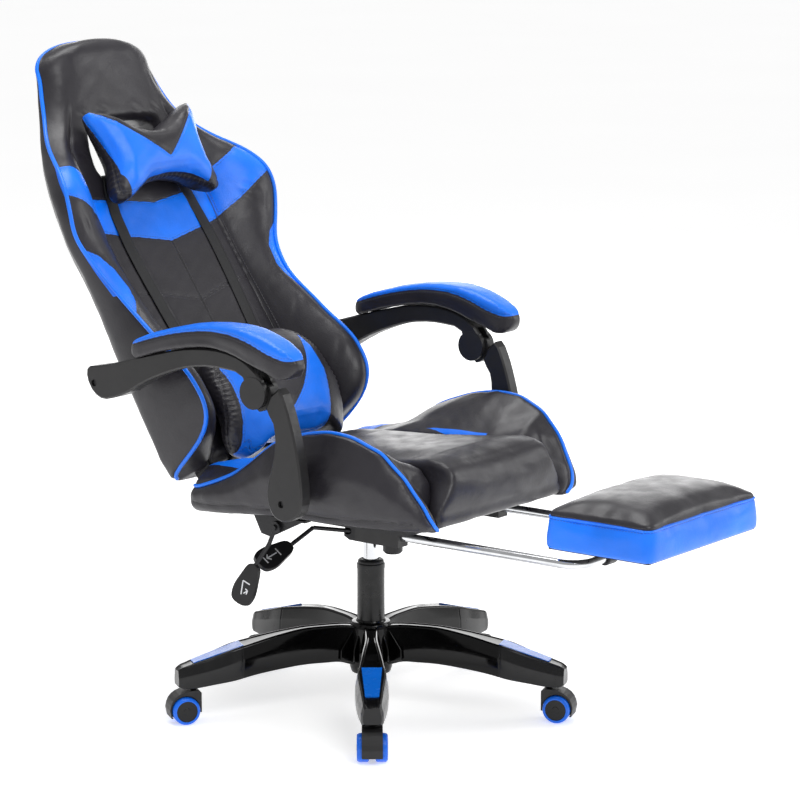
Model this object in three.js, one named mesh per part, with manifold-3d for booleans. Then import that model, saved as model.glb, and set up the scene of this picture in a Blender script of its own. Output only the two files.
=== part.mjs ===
// A reclining gaming chair: five-leg base on casters, gas lift, tilt mechanism, bucket seat,
// reclining back with two pillows, linked armrests and a pull-out footrest.
// Millimetres, +Z up. The sitter faces -Y. While it is built, the gas column stands on X = Y = 0.
import * as THREE from 'three';
import { mergeVertices } from 'three/addons/utils/BufferGeometryUtils.js';
import Module from 'manifold-3d';

const wasm = await Module();
wasm.setup();

// ---------------------------------------------------------------- driving dimensions
const GAP = 0.4;

const LEG_COUNT = 5;
const FIRST_LEG_DEG = -142;
const CASTER_CIRCLE_R = 335;
const WHEEL_R = 25;
const WHEEL_SIDES = 24;
const CASTER_TRAIL = 18;
const HOOD_HALF_W = 18;

const GAS_TUBE_R = 25;
const GAS_TUBE_TOP = 266;
const PISTON_R = 14;

const TILT_Y = -50;
const TILT_Z = 344;
const FRAME_BOTTOM = 380;
const FRAME_TOP = 392;

const HEIGHT_LEVER = [[-26, 10, 326], [-84, 66, 336], [-131, 82, 309]];
const HEIGHT_PADDLE_END = [-204, 92, 288];
const RECLINE_LEVER = [[-212, 48, 362], [-216, 60, 330], [-226, 84, 290]];
const RECLINE_PADDLE_END = [-240, 108, 224];

const SEAT_SPLIT_X = 149;
const SEAT_BASE_Z = 394;

const RECLINE_Y = 235;
const RECLINE_Z = 400;
const RECLINE_X = 165;
const BACK_LEAN = THREE.MathUtils.degToRad(34.5);
const HEAD_LEAN = THREE.MathUtils.degToRad(14);
const BACK_START = new THREE.Vector2(205, 430);
const BEND_START = 468;
const BACK_LENGTH = 878;

const ARM_X = 317;
const ARM_HALF_W = 18;
const ARM_REAR = new THREE.Vector2(361.6, 603.8);
const ARM_FRONT = new THREE.Vector2(-5, 624);
const ARM_FOOT = new THREE.Vector2(-61.6, 437.4);
const ARM_DRUM_R = 28;
const ARM_EYE_HALF_W = 8;
const PIVOT_CLEARANCE = 4.5;

const RAIL_X = 150;
const RAIL_Z = 366;
const RAIL_R = 8;
const RAIL_REAR_Y = -95;
const FOOT_PIVOT_Y = -551;
const FOOT_HALF_W = 177;

// ---------------------------------------------------------------- materials
const material = (color, roughness, metalness = 0) => new THREE.MeshStandardMaterial({
  color,
  roughness,
  metalness,
});
const leather = () => material(0x3c3b3f, 0.5);
const blueLeather = () => material(0x1f78ff, 0.5);
const nylon = () => material(0x17171a, 0.25);
const plastic = () => material(0x333337, 0.55);
const bluePlastic = () => material(0x1b6ff0, 0.35);
const steel = () => material(0x2a2a2e, 0.4, 0.8);
const chrome = () => material(0xd8d8dc, 0.12, 1);

// ---------------------------------------------------------------- geometry helpers
function bare(geometry) {
  const plain = geometry.clone();
  plain.deleteAttribute('normal');
  plain.deleteAttribute('uv');
  return mergeVertices(plain, 1e-3);
}

function facingOut(geometry) {
  const p = geometry.getAttribute('position');
  const index = geometry.getIndex();
  const [a, b, c] = [new THREE.Vector3(), new THREE.Vector3(), new THREE.Vector3()];
  let volume = 0;
  for (let i = 0; i < index.count; i += 3) {
    a.fromBufferAttribute(p, index.getX(i));
    b.fromBufferAttribute(p, index.getX(i + 1));
    c.fromBufferAttribute(p, index.getX(i + 2));
    volume += a.dot(b.cross(c));
  }
  if (volume > 0) return geometry;
  const turned = Array.from(index.array);
  for (let i = 0; i < turned.length; i += 3) {
    [turned[i], turned[i + 1]] = [turned[i + 1], turned[i]];
  }
  geometry.setIndex(turned);
  return geometry;
}

// The vertices are merged before the piece is placed, while copies of a point still agree.
function solid(geometry, placement = new THREE.Matrix4()) {
  const closed = facingOut(bare(geometry).applyMatrix4(placement));
  return new wasm.Manifold(new wasm.Mesh({
    numProp: 3,
    vertProperties: new Float32Array(closed.getAttribute('position').array),
    triVerts: new Uint32Array(closed.getIndex().array),
  }));
}

function geometryOf(manifold) {
  const mesh = manifold.getMesh();
  const geometry = new THREE.BufferGeometry();
  geometry.setAttribute('position', new THREE.BufferAttribute(mesh.vertProperties, 3));
  geometry.setIndex(new THREE.BufferAttribute(mesh.triVerts, 1));
  return geometry;
}

const join = (first, ...others) => others.reduce((sum, next) => sum.add(next), first);
const cut = (first, ...others) => others.reduce((rest, next) => rest.subtract(next), first);

function box(x0, x1, y0, y1, z0, z1) {
  const geometry = new THREE.BoxGeometry(x1 - x0, y1 - y0, z1 - z0);
  return solid(geometry.translate((x0 + x1) / 2, (y0 + y1) / 2, (z0 + z1) / 2));
}

function rod(from, to, radius, sides = 16) {
  const [a, b] = [new THREE.Vector3(...from), new THREE.Vector3(...to)];
  const along = b.clone().sub(a);
  const geometry = new THREE.CylinderGeometry(radius, radius, along.length(), sides);
  const turn = new THREE.Quaternion();
  turn.setFromUnitVectors(new THREE.Vector3(0, 1, 0), along.clone().normalize());
  const placement = new THREE.Matrix4().makeRotationFromQuaternion(turn);
  return solid(geometry, placement.setPosition(a.add(b).multiplyScalar(0.5)));
}

// A solid of revolution about +Z from [radius, z] pairs that start and end on the axis.
function turned(profile, sides = 20) {
  const points = profile.map(([r, z]) => new THREE.Vector2(r, z));
  return solid(new THREE.LatheGeometry(points, sides), new THREE.Matrix4().makeRotationX(Math.PI / 2));
}

const outline = (pairs) => new THREE.Shape(pairs.map(([u, v]) => new THREE.Vector2(u, v)));

function smoothOutline(pairs, steps) {
  const points = pairs.map(([u, v]) => new THREE.Vector3(u, v, 0));
  const curve = new THREE.CatmullRomCurve3(points, true, 'centripetal');
  return new THREE.Shape(curve.getPoints(steps).slice(0, -1).map((p) => new THREE.Vector2(p.x, p.y)));
}

// An outline in the Y-Z plane, drawn out along X from x0 to x1.
function sidePlate(shape, x0, x1, bevel = 0) {
  const geometry = new THREE.ExtrudeGeometry(shape, {
    depth: x1 - x0 - 2 * bevel,
    bevelEnabled: bevel > 0,
    bevelThickness: bevel,
    bevelSize: bevel,
    bevelOffset: -bevel,
    bevelSegments: 1,
    curveSegments: 8,
  });
  const frame = new THREE.Matrix4().makeBasis(
    new THREE.Vector3(0, 1, 0),
    new THREE.Vector3(0, 0, 1),
    new THREE.Vector3(1, 0, 0),
  );
  return solid(geometry.translate(0, 0, x0 + bevel), frame);
}

function tube(points, radius, sides, steps) {
  const corners = points.map((p) => new THREE.Vector3(...p));
  const curve = new THREE.CatmullRomCurve3(corners, false, 'centripetal');
  const section = new THREE.Shape();
  section.absarc(0, 0, radius, 0, 2 * Math.PI, false);
  return solid(new THREE.ExtrudeGeometry(section, {
    steps,
    curveSegments: sides / 2,
    bevelEnabled: false,
    extrudePath: curve,
  }));
}

// A closed skin over rings with the same number of points. Each ring is a flat outline
// and a function that places it in space.
function loft(rings) {
  const count = rings[0].points.length;
  const flat = (ring) => ring.points.map(([u, v]) => new THREE.Vector2(u, v));
  if (THREE.ShapeUtils.isClockWise(flat(rings[0]))) rings.forEach((ring) => ring.points.reverse());
  const positions = [];
  const index = [];
  for (const ring of rings) {
    for (const [u, v] of ring.points) positions.push(...ring.place(u, v).toArray());
  }
  for (let r = 0; r + 1 < rings.length; r += 1) {
    for (let i = 0; i < count; i += 1) {
      const j = (i + 1) % count;
      const [a, b, c, d] = [r * count + i, r * count + j, (r + 1) * count + j, (r + 1) * count + i];
      index.push(a, b, c, a, c, d);
    }
  }
  const cap = (ring) => THREE.ShapeUtils.triangulateShape(flat(ring), []);
  const last = (rings.length - 1) * count;
  for (const [a, b, c] of cap(rings[0])) index.push(b, a, c);
  for (const [a, b, c] of cap(rings[rings.length - 1])) index.push(last + a, last + b, last + c);
  const geometry = new THREE.BufferGeometry();
  geometry.setAttribute('position', new THREE.Float32BufferAttribute(positions, 3));
  geometry.setIndex(index);
  return solid(geometry);
}

// A pillow: a sphere squared off towards a box, so its sides stay round and its faces flatten.
function pillowGeometry(halfX, halfY, halfZ, power) {
  const geometry = new THREE.SphereGeometry(1, 20, 12);
  const p = geometry.getAttribute('position');
  const squared = (v) => Math.sign(v) * Math.abs(v) ** power;
  for (let i = 0; i < p.count; i += 1) {
    p.setXYZ(i, halfX * squared(p.getX(i)), halfY * squared(p.getY(i)), halfZ * squared(p.getZ(i)));
  }
  return geometry;
}

// ---------------------------------------------------------------- the assembly
const chair = new THREE.Group();

function addPart(name, manifold, look, parent = chair) {
  const mesh = new THREE.Mesh(geometryOf(manifold), look);
  mesh.name = name;
  parent.add(mesh);
  return mesh;
}

function mirrored(manifold) {
  const geometry = geometryOf(manifold).scale(-1, 1, 1);
  return solid(geometry);
}

// One piece on each side: right is the sitter's right, at -X.
function addPair(name, manifold, look) {
  addPart(`${name}_left`, manifold, look());
  addPart(`${name}_right`, mirrored(manifold), look());
}

// ---------------------------------------------------------------- base and casters
// Rows of the leg: distance from the column, underside, top, width at the top, width below.
const LEG_ROWS = [
  [16, 74, 152, 24, 28],
  [60, 86, 156, 20, 26],
  [125, 88, 156, 20, 30],
  [180, 85, 149, 30, 42],
  [245, 77, 136, 44, 56],
  [300, 69, 120, 38, 54],
  [345, 64, 107, 30, 42],
  [361, 66, 100, 24, 34],
];
const INSERT_FROM = 246;
const INSERT_TO = 340;
const INSERT_SLOPE = Math.atan2(28, 98);

function legSolid() {
  const rings = LEG_ROWS.map(([r, low, high, top, bottom]) => ({
    points: [
      [-bottom / 2, low],
      [bottom / 2, low],
      [bottom / 2, low + 0.62 * (high - low)],
      [top / 2, high],
      [-top / 2, high],
      [-bottom / 2, low + 0.62 * (high - low)],
    ],
    place: (u, v) => new THREE.Vector3(r, u, v),
  }));
  return loft(rings);
}

function insertSolid(grow, thickness, lift) {
  const shape = outline([
    [-grow, -18 - grow],
    [INSERT_TO - INSERT_FROM + grow, -12 - grow],
    [INSERT_TO - INSERT_FROM + grow, 12 + grow],
    [-grow, 18 + grow],
  ]);
  const geometry = new THREE.ExtrudeGeometry(shape, { depth: thickness, bevelEnabled: false });
  geometry.translate(0, 0, lift);
  geometry.rotateY(INSERT_SLOPE);
  return solid(geometry.translate(INSERT_FROM, 0, 136));
}

function baseStar() {
  const hub = turned([[0, 62], [34, 62], [39, 74], [39, 150], [35, 158], [0, 158]], 30);
  const column = turned([[0, 50], [GAS_TUBE_R + GAP, 50], [GAS_TUBE_R + GAP, 170], [0, 170]], 24);
  const stemBore = rod([CASTER_CIRCLE_R, 0, 40], [CASTER_CIRCLE_R, 0, 94], 6.2, 12);
  const leg = cut(legSolid(), stemBore, insertSolid(GAP, 20, -3.4));
  const around = (k) => [0, 0, FIRST_LEG_DEG + k * (360 / LEG_COUNT)];
  const legs = Array.from({ length: LEG_COUNT }, (_, k) => leg.rotate(around(k)));
  return cut(join(hub, ...legs), column);
}

function hoodSolid() {
  const reach = WHEEL_R + 4.5;
  const side = new THREE.Shape();
  side.moveTo(-11, 20);
  side.lineTo(-11, 56);
  side.lineTo(-7, 60);
  side.lineTo(10, 60);
  side.quadraticCurveTo(CASTER_TRAIL + reach * 0.9, 57, CASTER_TRAIL + reach, 27);
  side.lineTo(CASTER_TRAIL + reach - 3, 12);
  side.lineTo(CASTER_TRAIL + reach - 8, 12);
  side.lineTo(CASTER_TRAIL, 20);
  const shell = solid(new THREE.ExtrudeGeometry(side, {
    depth: 2 * HOOD_HALF_W,
    bevelEnabled: false,
    curveSegments: 6,
  }).translate(0, 0, -HOOD_HALF_W).rotateX(Math.PI / 2));
  const room = (y0, y1) => rod([CASTER_TRAIL, y0, WHEEL_R], [CASTER_TRAIL, y1, WHEEL_R], WHEEL_R + 1.7, 20);
  const web = rod([CASTER_TRAIL, -4, WHEEL_R], [CASTER_TRAIL, 4, WHEEL_R], 12, 12);
  const axle = rod([CASTER_TRAIL, -21, WHEEL_R], [CASTER_TRAIL, 21, WHEEL_R], 4, 8);
  const stem = rod([0, 0, 52], [0, 0, 91], 5.6, 10);
  const hollow = cut(shell, room(4, 30), room(-30, -4));
  return join(hollow, web, axle, stem);
}

function wheelSolid() {
  const rim = turned([
    [0, 0], [22, 0], [25, 3], [25, 18], [22.5, 21.5], [19, 21.5], [18, 19.5], [0, 19.5],
  ], WHEEL_SIDES);
  const bore = rod([0, 0, -2], [0, 0, 18.2], 4.4, 8);
  const flatDown = 180 / WHEEL_SIDES;
  return cut(rim, bore).rotate([0, 0, flatDown]).rotate([-90, 0, 0]).translate([CASTER_TRAIL, 5.2, WHEEL_R]);
}

function addBase() {
  addPart('base_star', baseStar(), nylon());
  const hood = hoodSolid();
  const wheel = wheelSolid();
  const otherWheel = solid(geometryOf(wheel).scale(1, -1, 1));
  for (let k = 0; k < LEG_COUNT; k += 1) {
    const leg = new THREE.Group();
    leg.rotation.z = THREE.MathUtils.degToRad(FIRST_LEG_DEG + k * (360 / LEG_COUNT));
    const caster = new THREE.Group();
    caster.position.x = CASTER_CIRCLE_R;
    addPart(`base_insert_${k + 1}`, insertSolid(0, 3.6, -3), bluePlastic(), leg);
    addPart(`caster_hood_${k + 1}`, hood, plastic(), caster);
    addPart(`caster_wheel_${k + 1}a`, wheel, bluePlastic(), caster);
    addPart(`caster_wheel_${k + 1}b`, otherWheel, bluePlastic(), caster);
    leg.add(caster);
    chair.add(leg);
  }
}

// ---------------------------------------------------------------- gas lift and mechanism
function addLift() {
  const tubeBody = turned([
    [0, 70], [22, 70], [GAS_TUBE_R, 110], [GAS_TUBE_R, GAS_TUBE_TOP], [0, GAS_TUBE_TOP],
  ], 24);
  const bore = turned([[0, 145], [PISTON_R + 0.5, 145], [PISTON_R + 0.5, 280], [0, 280]]);
  addPart('gas_cylinder', cut(tubeBody, bore), nylon());
  addPart('gas_piston', turned([[0, 185], [PISTON_R, 185], [PISTON_R, 342], [0, 342]]), chrome());
}

function addMechanism() {
  const side = outline([
    [-18, 312], [18, 312], [30, 318], [30, 334], [-30, 352], [-66, 352], [-72, 346], [-72, 330],
  ]);
  const socket = turned([[0, 300], [PISTON_R + GAP, 300], [PISTON_R + GAP, 343], [0, 343]]);
  const pinBore = rod([-60, TILT_Y, TILT_Z], [60, TILT_Y, TILT_Z], 5.5, 12);
  const screwBore = rod([0, TILT_Y, 300], [0, TILT_Y, 334], 4.6, 12);
  const [[leverX, leverY, leverZ], leverBend] = HEIGHT_LEVER;
  const leverBore = rod([leverX + 2, leverY - 2, leverZ], leverBend, 7.4, 12);
  const housing = cut(sidePlate(side, -40, 40), socket, pinBore, screwBore, leverBore);
  addPart('mechanism_housing', housing, steel());
  const knob = turned([
    [0, 290], [14, 290], [18, 294], [18, 308], [14, 312], [4.2, 312], [4.2, 332], [0, 332],
  ], 18);
  addPart('tension_knob', knob.translate([0, TILT_Y, 0]), plastic());
}

// ---------------------------------------------------------------- levers
// A paddle: a teardrop plate drawn along the lever's last stretch.
function paddle(from, to, halfWide, thick, normal) {
  const [a, b] = [new THREE.Vector3(...from), new THREE.Vector3(...to)];
  const along = b.clone().sub(a);
  const reach = along.length();
  const across = new THREE.Vector3(...normal).cross(along).normalize();
  const face = along.clone().cross(across).normalize();
  const shape = smoothOutline([
    [0, -9], [0.35 * reach, -0.8 * halfWide], [0.75 * reach, -halfWide], [reach, -0.7 * halfWide],
    [reach, 0.7 * halfWide], [0.75 * reach, halfWide], [0.35 * reach, 0.8 * halfWide], [0, 9],
  ], 32);
  const geometry = new THREE.ExtrudeGeometry(shape, { depth: thick, bevelEnabled: false });
  geometry.translate(0, 0, -thick / 2);
  const basis = new THREE.Matrix4().makeBasis(along.clone().normalize(), across, face);
  return solid(geometry, basis.setPosition(a));
}

// A bent bar that stops just short of the paddle on its end.
function leverSolid([start, bend, tip], radius) {
  const end = new THREE.Vector3(...bend).lerp(new THREE.Vector3(...tip), 0.93).toArray();
  return join(rod(start, bend, radius, 10), rod(bend, end, radius, 10));
}

function addLevers() {
  const [, , heightTip] = HEIGHT_LEVER;
  const [pivot, , reclineTip] = RECLINE_LEVER;
  const heightGrip = paddle(heightTip, HEIGHT_PADDLE_END, 22, 9, [-0.5, -0.5, 0.6]);
  const heightBar = leverSolid(HEIGHT_LEVER, 4);
  const heightRoom = paddle(heightTip, HEIGHT_PADDLE_END, 24, 10, [-0.5, -0.5, 0.6]);
  addPart('height_lever_bar', cut(heightBar, heightRoom), steel());
  addPart('height_lever_paddle', heightGrip, plastic());
  const eye = rod([-215, pivot[1], pivot[2]], [-209, pivot[1], pivot[2]], 11, 16);
  const bore = rod([-220, pivot[1], pivot[2]], [-200, pivot[1], pivot[2]], 5.4, 12);
  const reclineBar = join(leverSolid(RECLINE_LEVER, 4), eye);
  const room = paddle(reclineTip, RECLINE_PADDLE_END, 25, 10, [-1, 0, 0]);
  addPart('recline_lever_bar', cut(reclineBar, bore, room), steel());
  addPart('recline_lever_paddle', paddle(reclineTip, RECLINE_PADDLE_END, 23, 9, [-1, 0, 0]), plastic());
}

// ---------------------------------------------------------------- seat
// Rows: Y, top of the side bolster, top of the cushion beside it, underside of the bolster,
// X of its outer side, X of its crest.
const SEAT_ROWS = [
  [-301, 410, 430, 400, 226, 210],
  [-290, 440, 470, 399, 240, 222],
  [-255, 496, 490, 398, 256, 234],
  [-215, 536, 492, 397, 266, 242],
  [-160, 558, 490, 397, 274, 248],
  [-105, 563, 487, 396, 277, 250],
  [-50, 555, 484, 395, 277, 250],
  [22, 529, 480, 393, 277, 248],
  [75, 490, 474, 388, 277, 248],
  [115, 462, 466, 384, 277, 250],
  [160, 446, 446, 380, 275, 250],
  [207, 432, 430, 377, 266, 240],
];

function bolsterSolid() {
  const rings = SEAT_ROWS.map(([y, top, inner, low, side, crest]) => ({
    points: [
      [SEAT_SPLIT_X + 2.5, SEAT_BASE_Z],
      [204, SEAT_BASE_Z],
      [206, low],
      [side - 16, low],
      [side - 3, low + 0.2 * (top - low)],
      [side, low + 0.55 * (top - low)],
      [crest + 8, top - 4],
      [crest - 6, top],
      [SEAT_SPLIT_X + 40, inner + 0.35 * Math.max(top - inner, 0)],
      [SEAT_SPLIT_X + 2.5, inner],
    ],
    place: (u, v) => new THREE.Vector3(u, y, v),
  }));
  return loft(rings);
}

function seatCushionSolid() {
  const side = smoothOutline([
    [182, 396], [186, 440], [160, 464], [100, 476], [0, 482], [-100, 488], [-200, 497],
    [-262, 503], [-293, 494], [-305, 466], [-303, 425], [-288, 396], [-150, 394], [50, 394],
  ], 44);
  const bottom = box(-200, 200, -400, 300, 300, SEAT_BASE_Z);
  return cut(sidePlate(side, -SEAT_SPLIT_X, SEAT_SPLIT_X, 4), bottom);
}

const reclinePlate = (grow) => smoothOutline([
  [120, 380 - grow], [180, 379 - grow], [RECLINE_Y, RECLINE_Z - 20 - grow],
  [RECLINE_Y + 20 + grow, RECLINE_Z], [RECLINE_Y, RECLINE_Z + 20 + grow],
  [205, 408 + grow], [150, 402 + grow], [110, 396 + grow],
], 30);

function addSeat() {
  addPart('seat_cushion', seatCushionSolid(), leather());
  const plateSlot = box(RECLINE_X + 3, RECLINE_X + 9.5, 100, 300, 370, 424);
  const tabSlot = box(194, 201, ARM_FOOT.x - 27, ARM_FOOT.x + 27, 390, 458);
  const boltHole = rod([190, ARM_FOOT.x, ARM_FOOT.y], [300, ARM_FOOT.x, ARM_FOOT.y], 5.6, 12);
  addPair('seat_bolster', cut(bolsterSolid(), plateSlot, tabSlot, boltHole), leather);

  const deck = box(-200, 200, -230, 165, FRAME_BOTTOM, FRAME_TOP);
  const tab = (sign) => {
    const [x0, x1] = sign > 0 ? [195, 200] : [-200, -195];
    return box(x0, x1, ARM_FOOT.x - 26, ARM_FOOT.x + 26, FRAME_BOTTOM, 456);
  };
  const tabHoles = rod([-210, ARM_FOOT.x, ARM_FOOT.y], [210, ARM_FOOT.x, ARM_FOOT.y], 5.6, 12);
  const plateRoom = (x) => box(x - 3.5, x + 3.5, 100, 200, 370, 400);
  const cornerX = RECLINE_X + 6;
  const frame = cut(join(deck, tab(1), tab(-1)), tabHoles, plateRoom(cornerX), plateRoom(-cornerX));
  addPart('seat_frame', frame, steel());

  const topPlate = box(-100, 100, -125, 120, FRAME_BOTTOM - 12, FRAME_BOTTOM - GAP);
  const ear = (x0, x1) => box(x0, x1, TILT_Y - 14, TILT_Y + 14, TILT_Z - 12, FRAME_BOTTOM - 8);
  const tiltPin = rod([-52, TILT_Y, TILT_Z], [52, TILT_Y, TILT_Z], 5, 12);
  addPart('seat_plate', join(topPlate, ear(44, 48), ear(-48, -44), tiltPin), steel());

  const pinBore = rod([150, RECLINE_Y, RECLINE_Z], [190, RECLINE_Y, RECLINE_Z], 6.4, 16);
  const plateSolid = sidePlate(reclinePlate(0), RECLINE_X + 3.7, RECLINE_X + 8.7);
  addPair('recliner_plate', cut(plateSolid, pinBore), steel);
}

function addLeverBracket() {
  const [pivot] = RECLINE_LEVER;
  const side = outline([[102, FRAME_BOTTOM - GAP], [84, 346], [62, 342], [-14, FRAME_BOTTOM - GAP]]);
  const pin = rod([-219, pivot[1], pivot[2]], [-203, pivot[1], pivot[2]], 5, 12);
  const foot = box(-206, -190, -14, 102, FRAME_BOTTOM - 4, FRAME_BOTTOM - GAP);
  addPart('lever_bracket', join(sidePlate(side, -208, -204), foot, pin), steel());
}

// ---------------------------------------------------------------- back
// Middle line of the back's front face: straight, then bent upright towards the head.
function backLine(s) {
  const straight = Math.min(s, BEND_START);
  const y = BACK_START.x + straight * Math.sin(BACK_LEAN);
  const z = BACK_START.y + straight * Math.cos(BACK_LEAN);
  if (s <= BEND_START) return { y, z, lean: BACK_LEAN };
  const rate = (BACK_LEAN - HEAD_LEAN) / (BACK_LENGTH - BEND_START);
  const lean = BACK_LEAN - rate * (s - BEND_START);
  return {
    y: y + (Math.cos(lean) - Math.cos(BACK_LEAN)) / rate,
    z: z + (Math.sin(BACK_LEAN) - Math.sin(lean)) / rate,
    lean,
  };
}

// The point at height s along the back, x across it and w in front of its middle line.
function onBack(s, x, w) {
  const { y, z, lean } = backLine(s);
  return new THREE.Vector3(x, y - w * Math.cos(lean), z + w * Math.sin(lean));
}

// Rows: height along the back, half width, height of the bolster's edge over the middle,
// depth where the side turns in, depth of the rear face, and how much the front and rear
// faces pull in at the ends.
const BACK_ROWS = [
  [28, 196, -36, -60, -72, 12],
  [44, 214, -26, -68, -78, 4],
  [58, 225, 34, -68, -80, 0],
  [76, 229, 71, -66, -80, 0],
  [104, 235, 94, -58, -80, 0],
  [150, 239, 99, -52, -80, 0],
  [266, 238, 63, -44, -80, 0],
  [376, 239, 30, -32, -72, 0],
  [430, 254, 27, -16, -68, 0],
  [488, 281, 40, 8, -64, 0],
  [530, 286, 57, 17, -62, 0],
  [578, 279, 62, 15, -61, 0],
  [614, 263, 49, 5, -60, 0],
  [680, 217, 2, -24, -58, 0],
  [740, 177, -28, -42, -56, 0],
  [825, 145, -40, -48, -55, 0],
  [856, 124, -40, -47, -53, 4],
  [872, 96, -34, -42, -50, 8],
  [878, 62, -27, -36, -46, 11],
];
const WING_SLOPE = 1.13;

function backHalf(half, edge, side, rear, inset) {
  const middle = Math.min(112, 0.68 * half);
  const rise = Math.max(edge, 0);
  const rearW = rear + inset;
  const sideW = Math.max(side, rearW + 3);
  return [
    [middle, -inset],
    [middle + 0.4 * (half - middle), 0.2 * rise + 0.25 * Math.min(edge, 0) - inset],
    [half - Math.min(20, 0.18 * half), 0.92 * edge + 3],
    [half - 3, edge + 2],
    [half, edge - 3],
    [half + 3, 0.5 * (edge - 3 + sideW)],
    [half - 1, sideW],
    [Math.min(half - 6, half - WING_SLOPE * (sideW - rearW)), rearW],
  ];
}

function backSolid() {
  const rings = BACK_ROWS.map(([s, half, edge, side, rear, inset]) => {
    const right = backHalf(half, edge, side, rear, inset);
    const left = right.map(([x, w]) => [-x, w]).reverse();
    return {
      points: [[0, -inset], ...right, [0, rear + inset], ...left],
      place: (x, w) => onBack(s, x, w),
    };
  });
  return loft(rings);
}

// A prism through the back, square to it at height s0, from an outline in x and s.
function throughBack(shape, s0, w0, w1) {
  const geometry = new THREE.ExtrudeGeometry(shape, {
    depth: w1 - w0,
    bevelEnabled: false,
    curveSegments: 4,
  });
  return solid(geometry.translate(0, 0, w0), backFrame(s0));
}

function backFrame(s0) {
  const { y, z, lean } = backLine(s0);
  const frame = new THREE.Matrix4().makeBasis(
    new THREE.Vector3(1, 0, 0),
    new THREE.Vector3(0, Math.sin(lean), Math.cos(lean)),
    new THREE.Vector3(0, -Math.cos(lean), Math.sin(lean)),
  );
  return frame.setPosition(0, y, z);
}

const OPENING_S = 668;
const openingShape = () => smoothOutline([
  [-104, -36], [-94, -48], [0, -44], [94, -48], [104, -36],
  [92, 36], [80, 46], [-80, 46], [-92, 36],
], 36);

const FRAME_PATH = [
  [20, 150], [150, 150], [300, 150], [470, 150], [600, 142], [700, 124], [770, 112],
  [812, 92], [826, 50], [828, 0],
];

function frameTube(radius) {
  const half = FRAME_PATH.map(([s, x]) => onBack(s, x, -42).toArray());
  const left = half.slice(0, -1).map(([x, y, z]) => [-x, y, z]).reverse();
  return tube([...half, ...left], radius, 8, 40);
}

// The tunnel that the frame slides up into, open at both feet.
function frameTunnel(radius) {
  const foot = rod(onBack(-60, 150, -42).toArray(), onBack(40, 150, -42).toArray(), radius + 1, 12);
  return join(frameTube(radius), foot, mirrored(foot));
}

function backPlate(grow) {
  const at = (s, w) => {
    const p = onBack(s, 0, w);
    return [p.y, p.z];
  };
  return smoothOutline([
    [RECLINE_Y - 18 - grow, RECLINE_Z], [RECLINE_Y, RECLINE_Z - 20 - grow],
    [RECLINE_Y + 20 + grow, RECLINE_Z], at(60, -60 - grow), at(150, -60 - grow),
    at(252 + grow, -50 - grow), at(252 + grow, -14 + grow), at(120, -22 + grow), at(50, -20 + grow),
  ], 36);
}

function addBack() {
  const plateSlot = sidePlate(backPlate(1), RECLINE_X - 3.2, RECLINE_X + 3.2);
  const rearHole = rod([RECLINE_X, ARM_REAR.x, ARM_REAR.y], [300, ARM_REAR.x, ARM_REAR.y], 5.6, 12);
  const holes = join(rearHole, mirrored(rearHole));
  const slots = join(plateSlot, mirrored(plateSlot));
  const opening = throughBack(openingShape(), OPENING_S, -120, 120);
  const cushion = cut(backSolid(), opening, frameTunnel(12), slots, holes);
  addPart('backrest_cushion', cushion, leather());
  addPart('back_frame', frameTube(11), steel());

  const pinBore = rod([140, RECLINE_Y, RECLINE_Z], [190, RECLINE_Y, RECLINE_Z], 5.3, 16);
  const bolt = rod([150, ARM_REAR.x, ARM_REAR.y], [190, ARM_REAR.x, ARM_REAR.y], 5.6, 12);
  const plate = sidePlate(backPlate(0), RECLINE_X - 2.6, RECLINE_X + 2.4);
  addPair('back_plate', cut(plate, pinBore, bolt), steel);
  const pin = join(
    rod([RECLINE_X - 10, RECLINE_Y, RECLINE_Z], [RECLINE_X + 14, RECLINE_Y, RECLINE_Z], 5, 16),
    rod([RECLINE_X + 9.2, RECLINE_Y, RECLINE_Z], [RECLINE_X + 14, RECLINE_Y, RECLINE_Z], 10, 16),
  );
  addPair('recline_pin', pin, steel);
}

const LUMBAR_S = 166;
const NECK_S = 636;
// The neck pillow: an outline with two horns, and its size at each height over the back.
const NECK_OUTLINE = smoothOutline([
  [0, 50], [70, 66], [132, 90], [146, 88], [138, 30], [134, -20], [148, -80], [136, -94],
  [60, -70], [0, -64], [-60, -70], [-136, -94], [-148, -80], [-134, -20], [-138, 30],
  [-146, 88], [-132, 90], [-70, 66],
], 48);
const NECK_LAYERS = [[10, 0.72], [18, 0.9], [32, 1], [50, 1], [64, 0.9], [74, 0.72]];

function addPillows() {
  const lumbar = pillowGeometry(172, 98, 41, 0.62).translate(0, 0, 52);
  addPart('lumbar_pillow', solid(lumbar, backFrame(LUMBAR_S)), blueLeather());
  const neckFrame = backFrame(NECK_S);
  const rings = NECK_LAYERS.map(([w, scale]) => ({
    points: NECK_OUTLINE.getPoints().map(({ x, y }) => [x * scale, y * scale]),
    place: (u, v) => new THREE.Vector3(u, v, w).applyMatrix4(neckFrame),
  }));
  addPart('neck_pillow', loft(rings), blueLeather());
}

// ---------------------------------------------------------------- armrests
const ARM_TOP = [[317, 643], [266, 658], [212, 672], [162, 684], [117, 690], [72, 691], [31, 684], [4, 672]];
const BAR_UNDER = [[21, 652], [55, 659], [96, 660], [142, 654], [191, 639], [242, 618], [286, 593]];

const armDisc = (xa, xb, r) => rod([xa, ARM_FRONT.x, ARM_FRONT.y], [xb, ARM_FRONT.x, ARM_FRONT.y], r, 20);

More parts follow.
